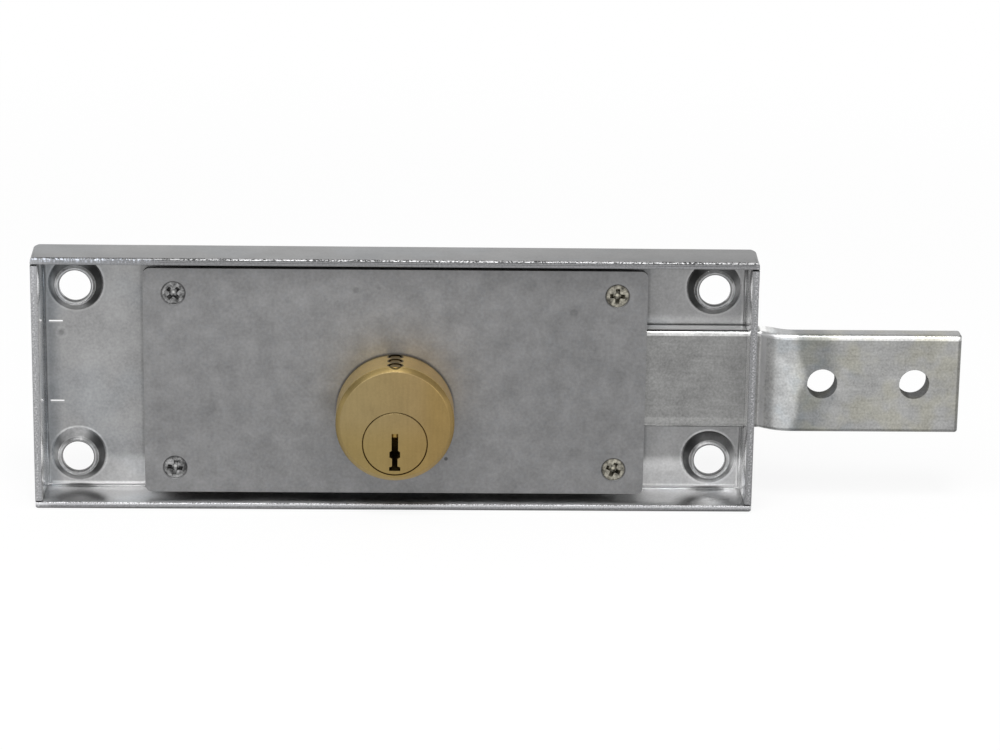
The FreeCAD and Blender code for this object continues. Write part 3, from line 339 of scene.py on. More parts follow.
class Finish(Shader):
    """One procedural material in the making, on the piece's own coordinates in millimetres."""

    def __init__(self, name):
        self.material = bpy.data.materials.new(name)
        self.material.use_nodes = True
        super().__init__(self.material.node_tree)
        coordinates = self.node("ShaderNodeTexCoord")
        self.place = self.shaded(coordinates.outputs["Object"], 1.0 / MM)
        self.x, self.y, self.z = self.axes(self.place)

    def normal(self):
        """The surface's own direction, as three terms."""
        return self.axes(self.node("ShaderNodeNewGeometry").outputs["Normal"])

    def noise(self, size, detail=2.0, roughness=0.55, stretch=(1.0, 1.0, 1.0), shift=(0, 0, 0)):
        """Noise from 0 to 1 with features of a size in millimetres, drawn out by stretch."""
        mapping = self.node("ShaderNodeMapping", inputs={
            "Vector": self.place, "Location": shift,
            "Scale": tuple(1.0 / (size * amount) for amount in stretch)})
        node = self.node("ShaderNodeTexNoise", inputs={
            "Vector": mapping.outputs[0], "Scale": 1.0, "Detail": detail, "Roughness": roughness})
        return Term(self, node.outputs[0])

    def radius(self, across, up, mirrored=False):
        """Distance from an axis along Y, or from the nearest of its four mirror images."""
        x, z = (abs(self.x), abs(self.z)) if mirrored else (self.x, self.z)
        return distance(x - across, z - up)

    def blend(self, amount, first, second, mode="MIX"):
        """Mix two colours by an amount."""
        node = self.node("ShaderNodeMix", {"data_type": "RGBA", "blend_type": mode}, {
            0: amount, 6: first, 7: second})
        return node.outputs[2]

    def tinted(self, amount, colour, tint):
        """Multiply a tint into a colour by an amount."""
        return self.blend(amount, colour, tint, "MULTIPLY")

    def shaded(self, colour, amount):
        """A colour or a vector times a number."""
        node = self.node("ShaderNodeVectorMath", {"operation": "SCALE"},
                         {"Vector": colour, "Scale": amount})
        return node.outputs[0]

    def done(self, colour, roughness, height, strength, depth, metallic=1.0):
        """Close the material: height is a relief in parts of depth, in millimetres."""
        bump = self.node("ShaderNodeBump", inputs={
            "Strength": strength, "Distance": depth * MM, "Height": height})
        shader = self.node("ShaderNodeBsdfPrincipled", inputs={
            "Base Color": colour, "Roughness": roughness, "Metallic": metallic,
            "Normal": bump.outputs[0]})
        self.node("ShaderNodeOutputMaterial", inputs={"Surface": shader.outputs[0]})
        return self.material


# Finishes. The numbers in step and within are places and radii in millimetres, or for side, facing
# and up parts of the surface's normal, or for noise its value. A mask runs from 0 to 1, and the
# number beside it is how much it changes the tone.

def mottled(finish, colour, amount, fine, broad, contrast=1.4):
    """A metal colour with fine grain and broad patches."""
    grain = finish.noise(fine)
    patches = finish.noise(broad, detail=4.0, roughness=0.6)
    tone = 1.0 + ((grain - 0.5) * 0.45 + (patches - 0.5) * 0.7) * (amount * contrast)
    return finish.shaded(colour, tone), grain, patches


def zinc_sheet(settings):
    """Bright zinc on folded sheet: mottled faces with painted light and shade, cut edges with
    painted highlight specks, and dull collars with painted shade.
    """
    finish = Finish("zinc_sheet")
    x, y, z = finish.x, finish.y, finish.z
    side, facing, up = finish.normal()
    colour, grain, patches = mottled(finish, settings.zinc_colour, settings.mottle, 0.55, 7.0,
                                     contrast=2.0)
    floor = y.step(-3.0, -2.0) * facing.step(0.5, 0.0)
    bend = x.step(-72.0, -75.0) * floor
    level = up.step(0.6, 0.9)
    cheeks = abs(side).step(0.6, 0.9) * abs(x).step(77.2, 76.4)
    tone = floor_painted_light(finish, floor, bend, up) * sill_painted_light(finish, level, up, grain)
    # Painted shade on the top wall's outer face, which faces up.
    tone = tone.lit(level * z.step(27.0, 27.8), -0.23)
    # Painted light on the end walls' insides.
    tone = tone * (1.0 + cheeks * cheek_painted_light(finish)).at_most(3.2)
    # Painted shade and a ring of painted light where a small dent in the floor would catch the
    # light.
    dent = finish.radius(*PAINTED_DENT_PLACE)
    tone = tone.lit(floor, dent.within(0.8, 1.1, 1.2, 1.6) * 0.1 - dent.step(0.8, 0.3) * 0.3)
    colour = finish.shaded(colour, tone)
    blue = finish.noise(14.0, shift=(3.0, 1.0, 7.0)).step(0.45, 0.65)
    colour = finish.tinted((blue * 0.25 + bend * 0.35).at_most(0.6), colour, BLUE_TINT)

    colour, dulled = collar_painted_shading(finish, colour, up)
    colour, rim = rim_grain_and_painted_light(finish, colour, up)
    polished = (cheeks * 0.19 + level * z.step(0.0, -20.0) * 0.06) * (1.0 - rim)
    roughness = 0.28 + patches * 0.14 + grain * 0.06 + rim * 0.1 + dulled * 0.1 - polished
    return finish.done(colour, roughness, height=grain * (1.0 - polished * 4.0), strength=0.25,
                       depth=0.012, metallic=1.0 - dulled * 0.6 - cheeks * 0.1)


def floor_painted_light(finish, floor, bend, up):
    """The floor: painted light at its foot and above the bar, and painted shade towards the right,
    along the left bend and in the crevice by the cover's edge.
    """
    x, z = finish.x, finish.z
    low = z.step(-18.5, -21.0) * floor * up.step(0.3, 0.1)
    crevice_shade = abs(x).step(55.5, 54.8) * floor * z.step(-21.0, -19.0)
    ledge_light = z.within(11.0, 11.3, 11.8, 13.4) * x.step(50.0, 56.0) * floor
    tone = 1.0 - x.step(10.0, 60.0) * 0.2 - bend * 0.28 - crevice_shade * 0.2
    return tone.lit(low, 0.48 + x.step(20.0, 60.0) * 0.55).lit(ledge_light, 0.3)


def sill_painted_light(finish, level, up, grain):
    """The bottom wall's inside: painted light on its face, a painted highlight line along its fold
    with painted shade where the fold turns up, and pools of painted shade under the collars.
    """
    x, y, z = finish.x, finish.y, finish.z
    low = z.step(-20.0, -24.0)
    tone = 1.0 + level * low * (0.35 + x.step(20.0, 60.0) * 0.7)
    # Painted highlight along the fold, and painted shade on its upturned part.
    fold = z.step(-25.0, -25.5) * y.step(-3.4, -2.8) * up.step(0.97, 0.8)
    tone = tone.lit(fold, up.step(0.03, 0.1) * 0.6 - up.step(0.35, 0.55) * (1.0 + grain * 0.3))
    # Pools of painted shade under the collars.
    for centre, reach, depth in SILL_SHADE_POOLS:
        pool = distance((x - centre) / reach, (y - POOL_CENTRE) / POOL_REACH).step(1.15, 0.35)
        tone = tone.lit(pool * up.step(0.9, 0.97) * low, -depth)
    return tone


def cheek_painted_light(finish):
    """Painted light on the end walls' insides, in bands of painted reflection along their depth,
    stronger on the right, with fine random streaks.
    """
    x, y, z = finish.x, finish.y, finish.z
    upper = z.step(9.8, 11.0)
    bands = 2.35 + (y.within(-11.4, -10.6, -9.4, -8.6) * 0.8
                    - y.within(-13.6, -13.0, -12.2, -11.6) * 0.7) * upper
    lower_left = (1.0 - upper) * x.step(40.0, -40.0)
    bands = bands + (y.step(-6.4, -5.2) * 0.6 - y.step(-5.6, -7.0) * 0.3) * lower_left
    fine = finish.noise(0.8, stretch=(1.0, 1.0, 5.0), shift=(1.0, 4.0, 2.0))
    return bands + x.step(-40.0, 40.0) * 0.7 + (fine - 0.5) * 1.4


def collar_painted_shading(finish, colour, up):
    """The raised collars: a dull cone with painted shade, darkest on its side towards the cover,
    darker on its outer side and underneath, a dark line of painted shade and a ring and chamfer of
    painted light at the hole, painted shade where the lower collars face up and on the lower left
    collar's ring above its hole, and a halo of painted highlight round the cone's foot.
    """
    x, y, z = finish.x, finish.y, finish.z
    radius = finish.radius(*HOLE_PLACE, mirrored=True)
    raised = y.step(-1.45, -1.9)
    inner = (abs(x) - HOLE_PLACE[0]) / radius
    cone = raised * radius.within(4.3, 4.5, 5.6, 6.2)
    # Painted shade on the cone, darkest on the side towards the cover.
    shade = 1.3 - inner.step(-0.2, -0.75) * 1.08 - inner.step(0.5, 0.95) * 0.85
    shade = shade.lit(inner.step(-0.75, -0.95), -0.45)
    noise = finish.noise(1.3, shift=(8.0, 2.0, 5.0))
    tone = 1.0 - cone * (1.0 - shade * (0.7 + noise * 0.6))
    # Painted shade at the hole's edge, painted light on the ring and its chamfer, painted
    # highlight round the cone's foot.
    line = raised * radius.step(3.68, 3.5)
    ring = raised * radius.within(3.7, 3.8, 4.35, 4.5)
    chamfer = ring * radius.step(3.86, 3.94)
    halo_highlight = radius.within(5.9, 6.05, 6.2, 6.5) * y.step(-3.0, -2.0)
    brow = ((z + HOLE_PLACE[1]) / radius).step(0.5, 0.9) * z.step(0.0, -5.0)
    tone = tone.lit(line, -0.6) * (1.0 + ring * (0.3 + noise * 0.6) + chamfer * 1.9)
    tone = tone.lit(raised * up.step(0.1, 0.4) * radius.step(6.2, 5.8) * z.step(5.0, -5.0), -0.4)
    tone = tone.lit(cone * up.step(-0.1, -0.5), -0.28)
    tone = tone.lit(ring * brow * x.step(0.0, -10.0), -0.65)
    tone = tone.lit(halo_highlight, 0.2 + brow * noise)
    return finish.shaded(colour, tone), cone


def rim_grain_and_painted_light(finish, colour, up):
    """The cut edges: grey and finely grained, with painted light and shade along them, lighter at
    the left end and darker where they face down, and a broken painted highlight line where they
    face up.
    """
    x, y, z = finish.x, finish.y, finish.z
    rim = y.step(-13.6, -13.85)
    grain = finish.noise(0.35, shift=(5.0, 2.0, 1.0))
    worn = finish.noise(6.0, shift=(1.0, 9.0, 4.0))
    bottom = z.step(-26.2, -26.4) * rim
    # Painted light at the left end and painted shade where the edge faces down, with a painted
    # highlight over painted shade on the bottom rim.
    lit = (0.74 + x.step(-73.0, -76.5) * 0.3).lit(up.step(-0.1, -0.5), -0.55)
    lit = lit.lit(bottom, z.step(-27.3, -26.9) * 0.9 - z.step(-27.4, -27.7) * 0.3)
    flat = finish.shaded(CUT_GREY, (0.35 + grain * 1.3) * lit)
    colour = finish.blend(rim, colour, flat)

    # Painted shade on the crest, under specks of painted highlight.
    crest = up.step(0.1, 0.4) * y.step(-13.2, -13.5)
    top = z.step(20.0, 26.0)
    colour = finish.shaded(colour, 1.0 - crest * (top * 0.47 + 0.35))
    crest = crest * (1.0 - top * (z.step(27.8, 27.55) * 0.55 + 0.45))
    specks = (grain + worn * 0.35).step(0.58, 0.75)
    faint = 1.0 - x.step(-30.0, -60.0) * top * 0.75
    colour = finish.blend(crest * specks * faint, colour, CREST_HIGHLIGHT)
    # Specks of painted highlight along the middle of the end walls' cut edges.
    middle = abs(abs(x) - 76.9).step(0.45, 0.1) * abs(up).step(0.3, 0.1)
    colour = finish.blend(middle * rim * grain.step(0.45, 0.7) * 0.5, colour, SIDE_RIM_HIGHLIGHT)

    streaks = finish.noise(0.3, detail=0.0, stretch=(1.0, 1.0, 12.0), shift=(2.0, 7.0, 1.0))
    ticks = streaks.step(0.5, 0.68) * x.step(-48.0, -60.0) * z.step(26.8, 27.3)
    colour = finish.blend(ticks * y.step(-13.2, -13.6) * 0.35, colour, BLUE_TICK)
    cool = x.step(-48.0, -62.0) * top * rim
    return finish.blend(cool * 0.15, colour, COOL_GREY), rim


def cover_zinc(settings):
    """Dull zinc of the flat cover plate, with small scuffs and a few marks, painted shade towards
    the right and round the screw heads, and a painted shadow at the cylinder's foot.
    """
    finish = Finish("cover_zinc")
    colour, grain, patches = mottled(finish, settings.cover_colour, settings.mottle, 0.7, 4.0,
                                     contrast=1.9)
    cloud = finish.noise(26.0, shift=(6.0, 0.0, 3.0))
    # Darker towards the right: painted shade.
    tone = 1.0 - finish.x.step(-30.0, 50.0) * 0.13 + (cloud - 0.5) * 0.16
    for across, height, size, depth in COVER_MARKS:
        tone = tone.lit(finish.radius(across, height).step(size, size * 0.5), -depth)
    # Painted shade round the screw heads and a painted shadow round the cylinder's upper foot.
    screw_gap_shade = finish.radius(*SCREW_PLACE, mirrored=True).step(2.8, 2.6)
    cylinder_foot_shadow = finish.radius(0.0, SHELL_AXIS).step(13.25, 12.8) * finish.z.step(-9.0, 0.0)
    colour = finish.shaded(colour, tone.lit(screw_gap_shade, -0.4).lit(cylinder_foot_shadow, -0.45))
    blue = finish.noise(1.1, shift=(3.0, 3.0, 3.0)).step(0.5, 0.7)
    colour = finish.tinted(blue * 0.3, colour, COVER_TINT)
    return finish.done(colour, 0.46 + patches * 0.14, height=grain, strength=0.25, depth=0.012)


def drawn_bar(settings):
    """Drawn steel bar: grey zinc with painted shade inside the case, brighter and faintly yellow
    outside, with painted light and shade on its joggle and edges and painted shade in its holes.
    """
    finish = Finish("drawn_bar")
    x, z = finish.x, finish.z
    side, _, up = finish.normal()
    streaks = finish.noise(0.8, detail=3.0, stretch=(14.0, 1.0, 1.0))
    grain = finish.noise(0.5, shift=(2.0, 2.0, 0.0))
    patches = finish.noise(6.0, detail=4.0, roughness=0.6, shift=(4.0, 0.0, 2.0))
    # The part inside the case gets painted shade.
    inside = x.step(79.0, 76.0)
    tone = (0.07 + streaks * 0.36 + grain * 0.8 + patches * 0.7).lit(inside, -0.32)

    # The joggle: a glow of painted highlight on its slope, a band of painted shade past it, and a
    # line of painted shade and a band of painted light in front of the wall.
    slant = x + abs(z - 1.0) * 0.25 + (patches - 0.5) * 5.0
    glow = x.step(81.4, 83.2) * slant.step(89.6, 87.2)
    shaded_band = slant.within(87.6, 89.8, 93.0, 98.0)
    tone = tone.lit(glow, patches * 0.6 + z.step(9.0, 1.0) * 0.25 - 0.05).lit(shaded_band, -0.3)
    tone = tone.lit(x.within(77.7, 78.0, 78.7, 78.9), -0.4)
    tone = tone.lit(x.within(78.7, 79.2, 81.0, 82.9), 1.15 + x.step(80.4, 79.9) * 0.85)

    # Painted light and shade on the edges: the top and bottom faces, the bar's end, the painted
    # highlight line along the top, and painted shade in the holes.
    tone = tone.lit(inside * z.step(-8.4, -8.9), 0.22)
    tone = tone.lit(up.step(0.8, 0.95), -0.12)
    tone = tone * (1.0 - up.step(-0.05, -0.35) * (0.4 - inside * 0.3))
    tone = tone.lit(side.step(0.05, 0.4), -0.45)
    tone = tone.lit(z.within(9.65, 9.9, 10.55, 10.75),
                    0.9 + x.step(85.0, 100.0) * 0.5 + inside * (0.2 + patches))
    tone = tone.lit(inside * z.step(10.6, 10.7) * up.step(0.98, 0.9), -0.5)
    tone = tone.lit(inside * up.step(0.9, 0.99), 5.0)
    first, last = (finish.radius(place, 0.0).step(ROD_RADIUS + 0.1, ROD_RADIUS)
                   for place in ROD_PLACES)
    bores = first.at_least(last)
    colour = finish.shaded(settings.bar_colour, tone.lit(bores, -0.45))

    warm = finish.noise(6.0, shift=(9.0, 5.0, 3.0)).step(0.4, 0.65) * x.step(84.0, 90.0)
    colour = finish.tinted(warm * 0.8, colour, BAR_WARM_TINT)
    # A cool tint, partly in random patches and partly over the joggle's painted glow and shade.
    cool = finish.noise(5.0, shift=(1.0, 5.0, 8.0)).step(0.5, 0.65)
    cool = (cool * 0.5 + shaded_band * 0.5 + glow * 0.3).at_most(1.0) * x.within(80.0, 82.0, 96.0, 104.0)
    colour = finish.tinted(cool * 0.7, colour, BAR_COOL_TINT)
    roughness = 0.27 + patches * 0.12 + bores * 0.5
    return finish.done(colour, roughness, height=streaks, strength=0.2, depth=0.01)


def plain_steel(settings):
    """Plain steel of the inner pieces."""
    finish = Finish("plain_steel")
    colour, grain, patches = mottled(finish, settings.steel_colour, settings.mottle * 0.7, 0.3,
                                     5.0)
    return finish.done(colour, 0.34 + patches * 0.14, height=grain, strength=0.2, depth=0.01)


def screw_zinc(settings):
    """Zinc of the screws: painted shade at the head's rim and in the recess, a painted glint in
    the recess's middle, yellowish on the right.
    """
    finish = Finish("screw_zinc")
    colour, grain, patches = mottled(finish, settings.screw_colour, settings.mottle, 0.35, 0.9,
                                     contrast=3.0)
    radius = finish.radius(*SCREW_PLACE, mirrored=True)
    recess = finish.y.step(COVER_FRONT + 0.1, COVER_FRONT + 0.3) * radius.step(1.8, 1.6)
    tone = (patches * 3.0 - 0.7).at_least(0.3)
    # Painted shade in the recess and at the head's rim.
    tone = tone.lit(recess, -0.2).lit(radius.step(2.15, 2.4), -0.5)
    glint = recess * radius.step(0.45, 0.15) * 0.7
    colour = finish.blend(glint, finish.shaded(colour, tone), SCREW_GLINT)
    colour = finish.tinted(finish.x.step(-5.0, 5.0), colour, SCREW_TINT)
    return finish.done(colour, 0.26 + patches * 0.14, height=grain, strength=0.2, depth=0.008)


def turned_brass(settings):
    """Turned brass of the shell and the plug, with painted light on the upper flank, painted shade
    that dims the lamp's highlight on the nose's top, a painted contact shadow where it meets the
    cover and painted shade in the chamber bores.
    """
    finish = Finish("turned_brass")
    x, y, z = finish.x, finish.y, finish.z
    _, facing, up = finish.normal()
    radius = finish.radius(0.0, SHELL_AXIS)
    front = y.step(-20.8, -20.97)
    grain = finish.noise(0.5)
    patches = finish.noise(5.0, detail=3.0, shift=(2.0, 2.0, 2.0))
    brushed = finish.noise(0.6, stretch=(1.0, 1.0, 10.0), shift=(4.0, 4.0, 4.0))
    flank = facing.step(-0.7, -0.25) * radius.step(SHELL_RADIUS - 1.1, SHELL_RADIUS - 0.9)
    flash_dimming = facing.within(-0.97, -0.85, -0.7, -0.55) * up.step(0.25, 0.5)
    tone = 0.66 + patches * 0.28 + grain * 0.2 + brushed * 0.2
    # Painted light on the upper flank, and painted shade that dims the lamp's highlight on the
    # nose.
    tone = tone.lit(flank * up.step(-0.5, 0.3), 1.55).lit(flash_dimming, -0.45)
    # A painted contact shadow where the shell meets the cover.
    tone = tone.lit(y.step(-11.9, -10.9), -0.75)
    rings = (radius * 26.0).sine() * 0.5 + 0.5
    front_hole, middle_hole, rear_hole = (
        distance(x, y - place).step(1.85, 1.65) * z.step(3.0, 4.0)
        for place in CHAMBER_PLACES)
    # Painted shade in the chamber bores round their plugs.
    tone = tone.lit(front_hole.at_least(middle_hole).at_least(rear_hole), -0.8)
    colour = finish.shaded(settings.brass_colour, tone)
    colour = finish.tinted(x.step(-9.0, 11.0), colour, BRASS_RED_TINT)
    pale = z.step(-12.0, -4.0) * front * x.step(9.0, 4.0)
    colour = finish.tinted(pale, colour, BRASS_PALE_TINT)
    relief = grain * 0.6 + rings * front * 0.4
    return finish.done(colour, 0.32 + patches * 0.1, height=relief, strength=0.2, depth=0.01)


def pin_brass(settings):
    """Bright brass of the pins and chamber plugs."""
    finish = Finish("pin_brass")
    grain = finish.noise(0.4)
    colour = finish.shaded(settings.pin_colour, 0.88 + grain * 0.24)
    return finish.done(colour, 0.24 + grain * 0.12, height=grain, strength=0.15, depth=0.006)


def spring_steel():
    """Dark oiled spring steel."""
    finish = Finish("spring_steel")
    grain = finish.noise(0.4)
    colour = finish.shaded(SPRING_GREY, 0.85 + grain * 0.3)
    return finish.done(colour, 0.3 + grain * 0.1, height=grain, strength=0.1, depth=0.005)


def dress(material, *names):
    """Give a finish to CAD nodes."""
    for name in names:
        slots = NODES[name].data.materials
        slots.clear()
        slots.append(material)


# Modelling

def only(piece):
    """Leave one piece selected and active."""
    bpy.ops.object.select_all(action="DESELECT")
    bpy.context.view_layer.objects.active = piece
    piece.select_set(True)


def edit_whole(piece):
    """Enter edit mode with the whole mesh selected."""
    only(piece)
    bpy.ops.object.mode_set(mode="EDIT")
    bpy.ops.mesh.select_all(action="SELECT")


def joined_copy(node, name):
    """A copy of a CAD node, its loose triangles joined and its flat faces made whole."""
    piece = bpy.data.objects.new(name, NODES[node].data.copy())
    bpy.context.scene.collection.objects.link(piece)
    only(piece)
    bpy.ops.mesh.customdata_custom_splitnormals_clear()
    edit_whole(piece)
    bpy.ops.mesh.remove_doubles(threshold=1e-6)
    bpy.ops.mesh.dissolve_limited(angle_limit=0.01)
    bpy.ops.object.mode_set(mode="OBJECT")
    return piece


def pick(piece, kind, chosen):
    """Enter edit mode with the vertices, edges or faces selected for which chosen is true."""
    only(piece)
    bpy.ops.object.mode_set(mode="EDIT")
    bpy.ops.mesh.select_mode(type=kind)
    bpy.ops.mesh.select_all(action="DESELECT")
    bpy.ops.object.mode_set(mode="OBJECT")
    mesh = piece.data
    picked = 0
    for item in {"VERT": mesh.vertices, "EDGE": mesh.edges, "FACE": mesh.polygons}[kind]:
        item.select = bool(chosen(item))
        picked += item.select
    if not picked:
        raise RuntimeError(f"{piece.name} has nothing to select there")
    bpy.ops.object.mode_set(mode="EDIT")


def round_edges(piece, offset, segments, *tests):
    """Round the edges whose two ends, in millimetres, both pass one of the tests."""
    vertices = piece.data.vertices
    pick(piece, "EDGE", lambda edge: any(
        all(test(vertices[index].co / MM) for index in edge.vertices) for test in tests))
    bpy.ops.mesh.bevel(offset=offset, segments=segments, profile=0.5, clamp_overlap=True)
    bpy.ops.object.mode_set(mode="OBJECT")


def near(first, second, margin=0.02):
    """Whether two lengths in millimetres are the same, apart from a margin."""
    return abs(first - second) < margin


def on_circle(axis, front, radius, mirrored=False):
    """A test for points on a circle round an axis along Y, or round its mirror images too."""
    def test(point):
        x, z = (abs(point.x), abs(point.z)) if mirrored else (point.x, point.z)
        reach = math.hypot(x - axis[0], z - axis[1])
        return near(point.y, front) and near(reach, radius, margin=0.04)

    return test


def smooth(piece, degrees=30.0):
    """Shade a piece smooth where its faces meet at less than an angle."""
    only(piece)
    bpy.ops.object.shade_smooth_by_angle(angle=math.radians(degrees))


def settle(piece, body, slot, finish, *replaced):
    """Give a new piece its finish and its body, and hide the nodes that it stands for."""
    piece.data.materials.clear()
    piece.data.materials.append(finish)
    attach(piece, body)
    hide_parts(*replaced)


# Operators

class LOCK_OT_case(bpy.types.Operator):
    """Round the folded case's cut edges and collars, and finish it"""
    bl_idname = "lock.case"
    bl_label = "Case"

    def execute(self, context):
        sizes = context.scene.lock_detail
        case = joined_copy("tray", "folded_case")
        edit_whole(case)
        bpy.ops.mesh.bisect(plane_co=(0.0, WALL_CUT * MM, 0.0), plane_no=(0.0, 1.0, 0.0))
        bpy.ops.object.mode_set(mode="OBJECT")

        def wall_end(point):
            return (near(abs(point.x), CASE_HALF) and near(abs(point.z), CASE_TOP)
                    and (point.y < WALL_CUT or near(point.y, WALL_CUT)))

        round_edges(case, sizes.corner_rounding, 4, wall_end)
        round_edges(case, sizes.rim_rounding, 3, lambda point: near(point.y, CASE_RIM))
        round_edges(case, sizes.hole_rounding, 3,
                    on_circle(HOLE_PLACE, CROWN_FRONT, HOLE_RADIUS, mirrored=True))
        smooth(case)
        settle(case, "case", "zinc_sheet", zinc_sheet(context.scene.lock_finish), "tray")
        return {"FINISHED"}


class LOCK_OT_cover(bpy.types.Operator):
    """Finish the cover plate"""
    bl_idname = "lock.cover"
    bl_label = "Cover"

    def execute(self, context):
        dress(cover_zinc(context.scene.lock_finish), "cover_plate")
        return {"FINISHED"}


class LOCK_OT_screws(bpy.types.Operator):
    """Model one cross-recess screw and copy it to the cover's corners, each at its own turn"""
    bl_idname = "lock.screws"
    bl_label = "Screws"
    turns = ((-1, 1, 45.0), (1, 1, 2.0), (-1, -1, 8.0), (1, -1, 22.0))

    def execute(self, context):
        sizes = context.scene.lock_detail
        finish = screw_zinc(context.scene.lock_finish)
        master = self.turned_blank(sizes)
        self.cut_recess(master, sizes)
        smooth(master)
        copies = []
        for side, level, degrees in self.turns:
            only(master)
            bpy.ops.object.duplicate(linked=False)
            screw = bpy.context.object
            screw.rotation_euler = (0.0, math.radians(degrees), 0.0)
            screw.location = (side * SCREW_PLACE[0] * MM, 0.0, level * SCREW_PLACE[1] * MM)
            bpy.ops.object.transform_apply(location=True, rotation=True, scale=True)
            copies.append(screw)
        only(master)
        bpy.ops.object.delete()
        only(copies[0])
        for screw in copies:
            screw.select_set(True)
        bpy.ops.object.join()
        screws = bpy.context.object
        screws.name = "cross_recess_screws"
        settle(screws, "case", "screw_zinc", finish, "cover_screws")
        dress(finish, "cylinder_screws")
        return {"FINISHED"}

    @staticmethod
    def turned_blank(sizes):
        """Shank, countersunk cone and rounded head, round an axis along Y."""
        shank = THREAD_RADIUS * MM
        widest = (COVER_FRONT + HEAD_SUNK) * MM
        neck = widest + (sizes.head_radius - shank)
        bpy.ops.object.select_all(action="DESELECT")
        bpy.ops.mesh.primitive_cylinder_add(
            vertices=48, radius=shank, depth=SCREW_END * MM - neck,
            location=(0.0, (SCREW_END * MM + neck) / 2, 0.0), rotation=(math.pi / 2, 0.0, 0.0))
        screw = bpy.context.object
        bpy.ops.object.transform_apply(location=True, rotation=True, scale=True)
        pick(screw, "FACE", lambda face: face.normal.y < -0.9)
        place, radius = neck, shank
        for front, wider in ((widest, sizes.head_radius),
                             ((COVER_FRONT + MIDDLE_SUNK) * MM,
                              sizes.head_radius - MIDDLE_LESS * MM),
                             ((COVER_FRONT + FACE_SUNK) * MM, sizes.face_radius)):
            bpy.ops.mesh.extrude_region_move(
                TRANSFORM_OT_translate={"value": (0.0, front - place, 0.0)})
            bpy.ops.transform.resize(value=(wider / radius, 1.0, wider / radius),
                                     center_override=(0.0, front, 0.0))
            place, radius = front, wider
        bpy.ops.object.mode_set(mode="OBJECT")
        return screw

    def cut_recess(self, screw, sizes):
        """Cut two tapered arms and a pointed middle out of the head."""
        front = (COVER_FRONT - CUTTER_SPARE) * MM
        depth = sizes.recess_depth + CUTTER_SPARE * MM
        middle = front + depth / 2
        for turn in (0.0, math.pi / 2):
            bpy.ops.object.select_all(action="DESELECT")
            bpy.ops.mesh.primitive_cube_add(size=1.0, location=(0.0, middle, 0.0))
            arm = bpy.context.object
            arm.scale = (sizes.recess_length, depth, sizes.recess_width)
            bpy.ops.object.transform_apply(location=True, rotation=True, scale=True)
            pick(arm, "VERT", lambda vertex: vertex.co.y > middle)
            bpy.ops.transform.resize(value=(ARM_TAPER[0], 1.0, ARM_TAPER[1]),
                                     center_override=(0.0, front + depth, 0.0))
            bpy.ops.object.mode_set(mode="OBJECT")
            arm.rotation_euler = (0.0, turn, 0.0)
            self.cut(screw, arm)
        bpy.ops.object.select_all(action="DESELECT")
        bpy.ops.mesh.primitive_cone_add(
            vertices=4, radius1=sizes.recess_width * POINT_WIDTHS[0],
            radius2=sizes.recess_width * POINT_WIDTHS[1], depth=depth,
            location=(0.0, middle, 0.0), rotation=(-math.pi / 2, 0.0, 0.0))
        self.cut(screw, bpy.context.object)

    @staticmethod
    def cut(screw, cutter):
        """Take a cutter out of the screw."""
        only(cutter)
        bpy.ops.object.transform_apply(location=True, rotation=True, scale=True)
        only(screw)
        modifier = screw.modifiers.new("recess", "BOOLEAN")
        modifier.operation = "DIFFERENCE"
        modifier.solver = "EXACT"
        modifier.object = cutter
        bpy.ops.object.modifier_apply(modifier=modifier.name)
        only(cutter)
        bpy.ops.object.delete()


class LOCK_OT_bolt(bpy.types.Operator):
    """Finish the bolt bar"""
    bl_idname = "lock.bolt"
    bl_label = "Bolt Bar"

    def execute(self, context):
        dress(drawn_bar(context.scene.lock_finish), "bolt_bar")
        return {"FINISHED"}


class LOCK_OT_works(bpy.types.Operator):
    """Finish the pieces behind the cover"""
    bl_idname = "lock.works"
    bl_label = "Inner Works"

    def execute(self, context):
        dress(plain_steel(context.scene.lock_finish), "cover_pillars", "bolt_keeper",
              "keeper_rivets", "tail_guide_stud", "drive_pinion", "drive_blade",
              *(f"driver_pin_{number}" for number in PIN_NUMBERS))
        dress(spring_steel(), "plug_retainer")
        return {"FINISHED"}


class LOCK_OT_springs(bpy.types.Operator):
    """Copy the pin springs and finish them; the copies keep one length, though the real springs
    shorten as their driver pins rise
    """
    bl_idname = "lock.springs"
    bl_label = "Pin Springs"

    def execute(self, context):
        finish = spring_steel()
        for number in PIN_NUMBERS:
            spring = joined_copy(f"pin_spring_{number}", f"shell_spring_{number}")
            smooth(spring)
            settle(spring, "case", "spring_steel", finish, f"pin_spring_{number}")
            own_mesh(spring)
        return {"FINISHED"}


class LOCK_OT_cylinder(bpy.types.Operator):
    """Round the lock cylinder's nose and finish it with its plug and pins"""
    bl_idname = "lock.cylinder"
    bl_label = "Lock Cylinder"

    def execute(self, context):
        sizes = context.scene.lock_detail
        nose = joined_copy("cylinder_shell", "cylinder_nose")
        axis = (0.0, SHELL_AXIS)
        round_edges(nose, sizes.nose_rounding, 4,
                    on_circle(axis, SHELL_FRONT, SHELL_RADIUS - NOSE_CHAMFER),
                    on_circle(axis, SHELL_FRONT + NOSE_CHAMFER, SHELL_RADIUS))
        smooth(nose)
        finish = turned_brass(context.scene.lock_finish)
        settle(nose, "case", "brass", finish, "cylinder_shell")
        dress(finish, "plug", "pinion_bush")
        dress(pin_brass(context.scene.lock_finish), "chamber_plugs",
              *(f"key_pin_{number}" for number in PIN_NUMBERS))
        return {"FINISHED"}


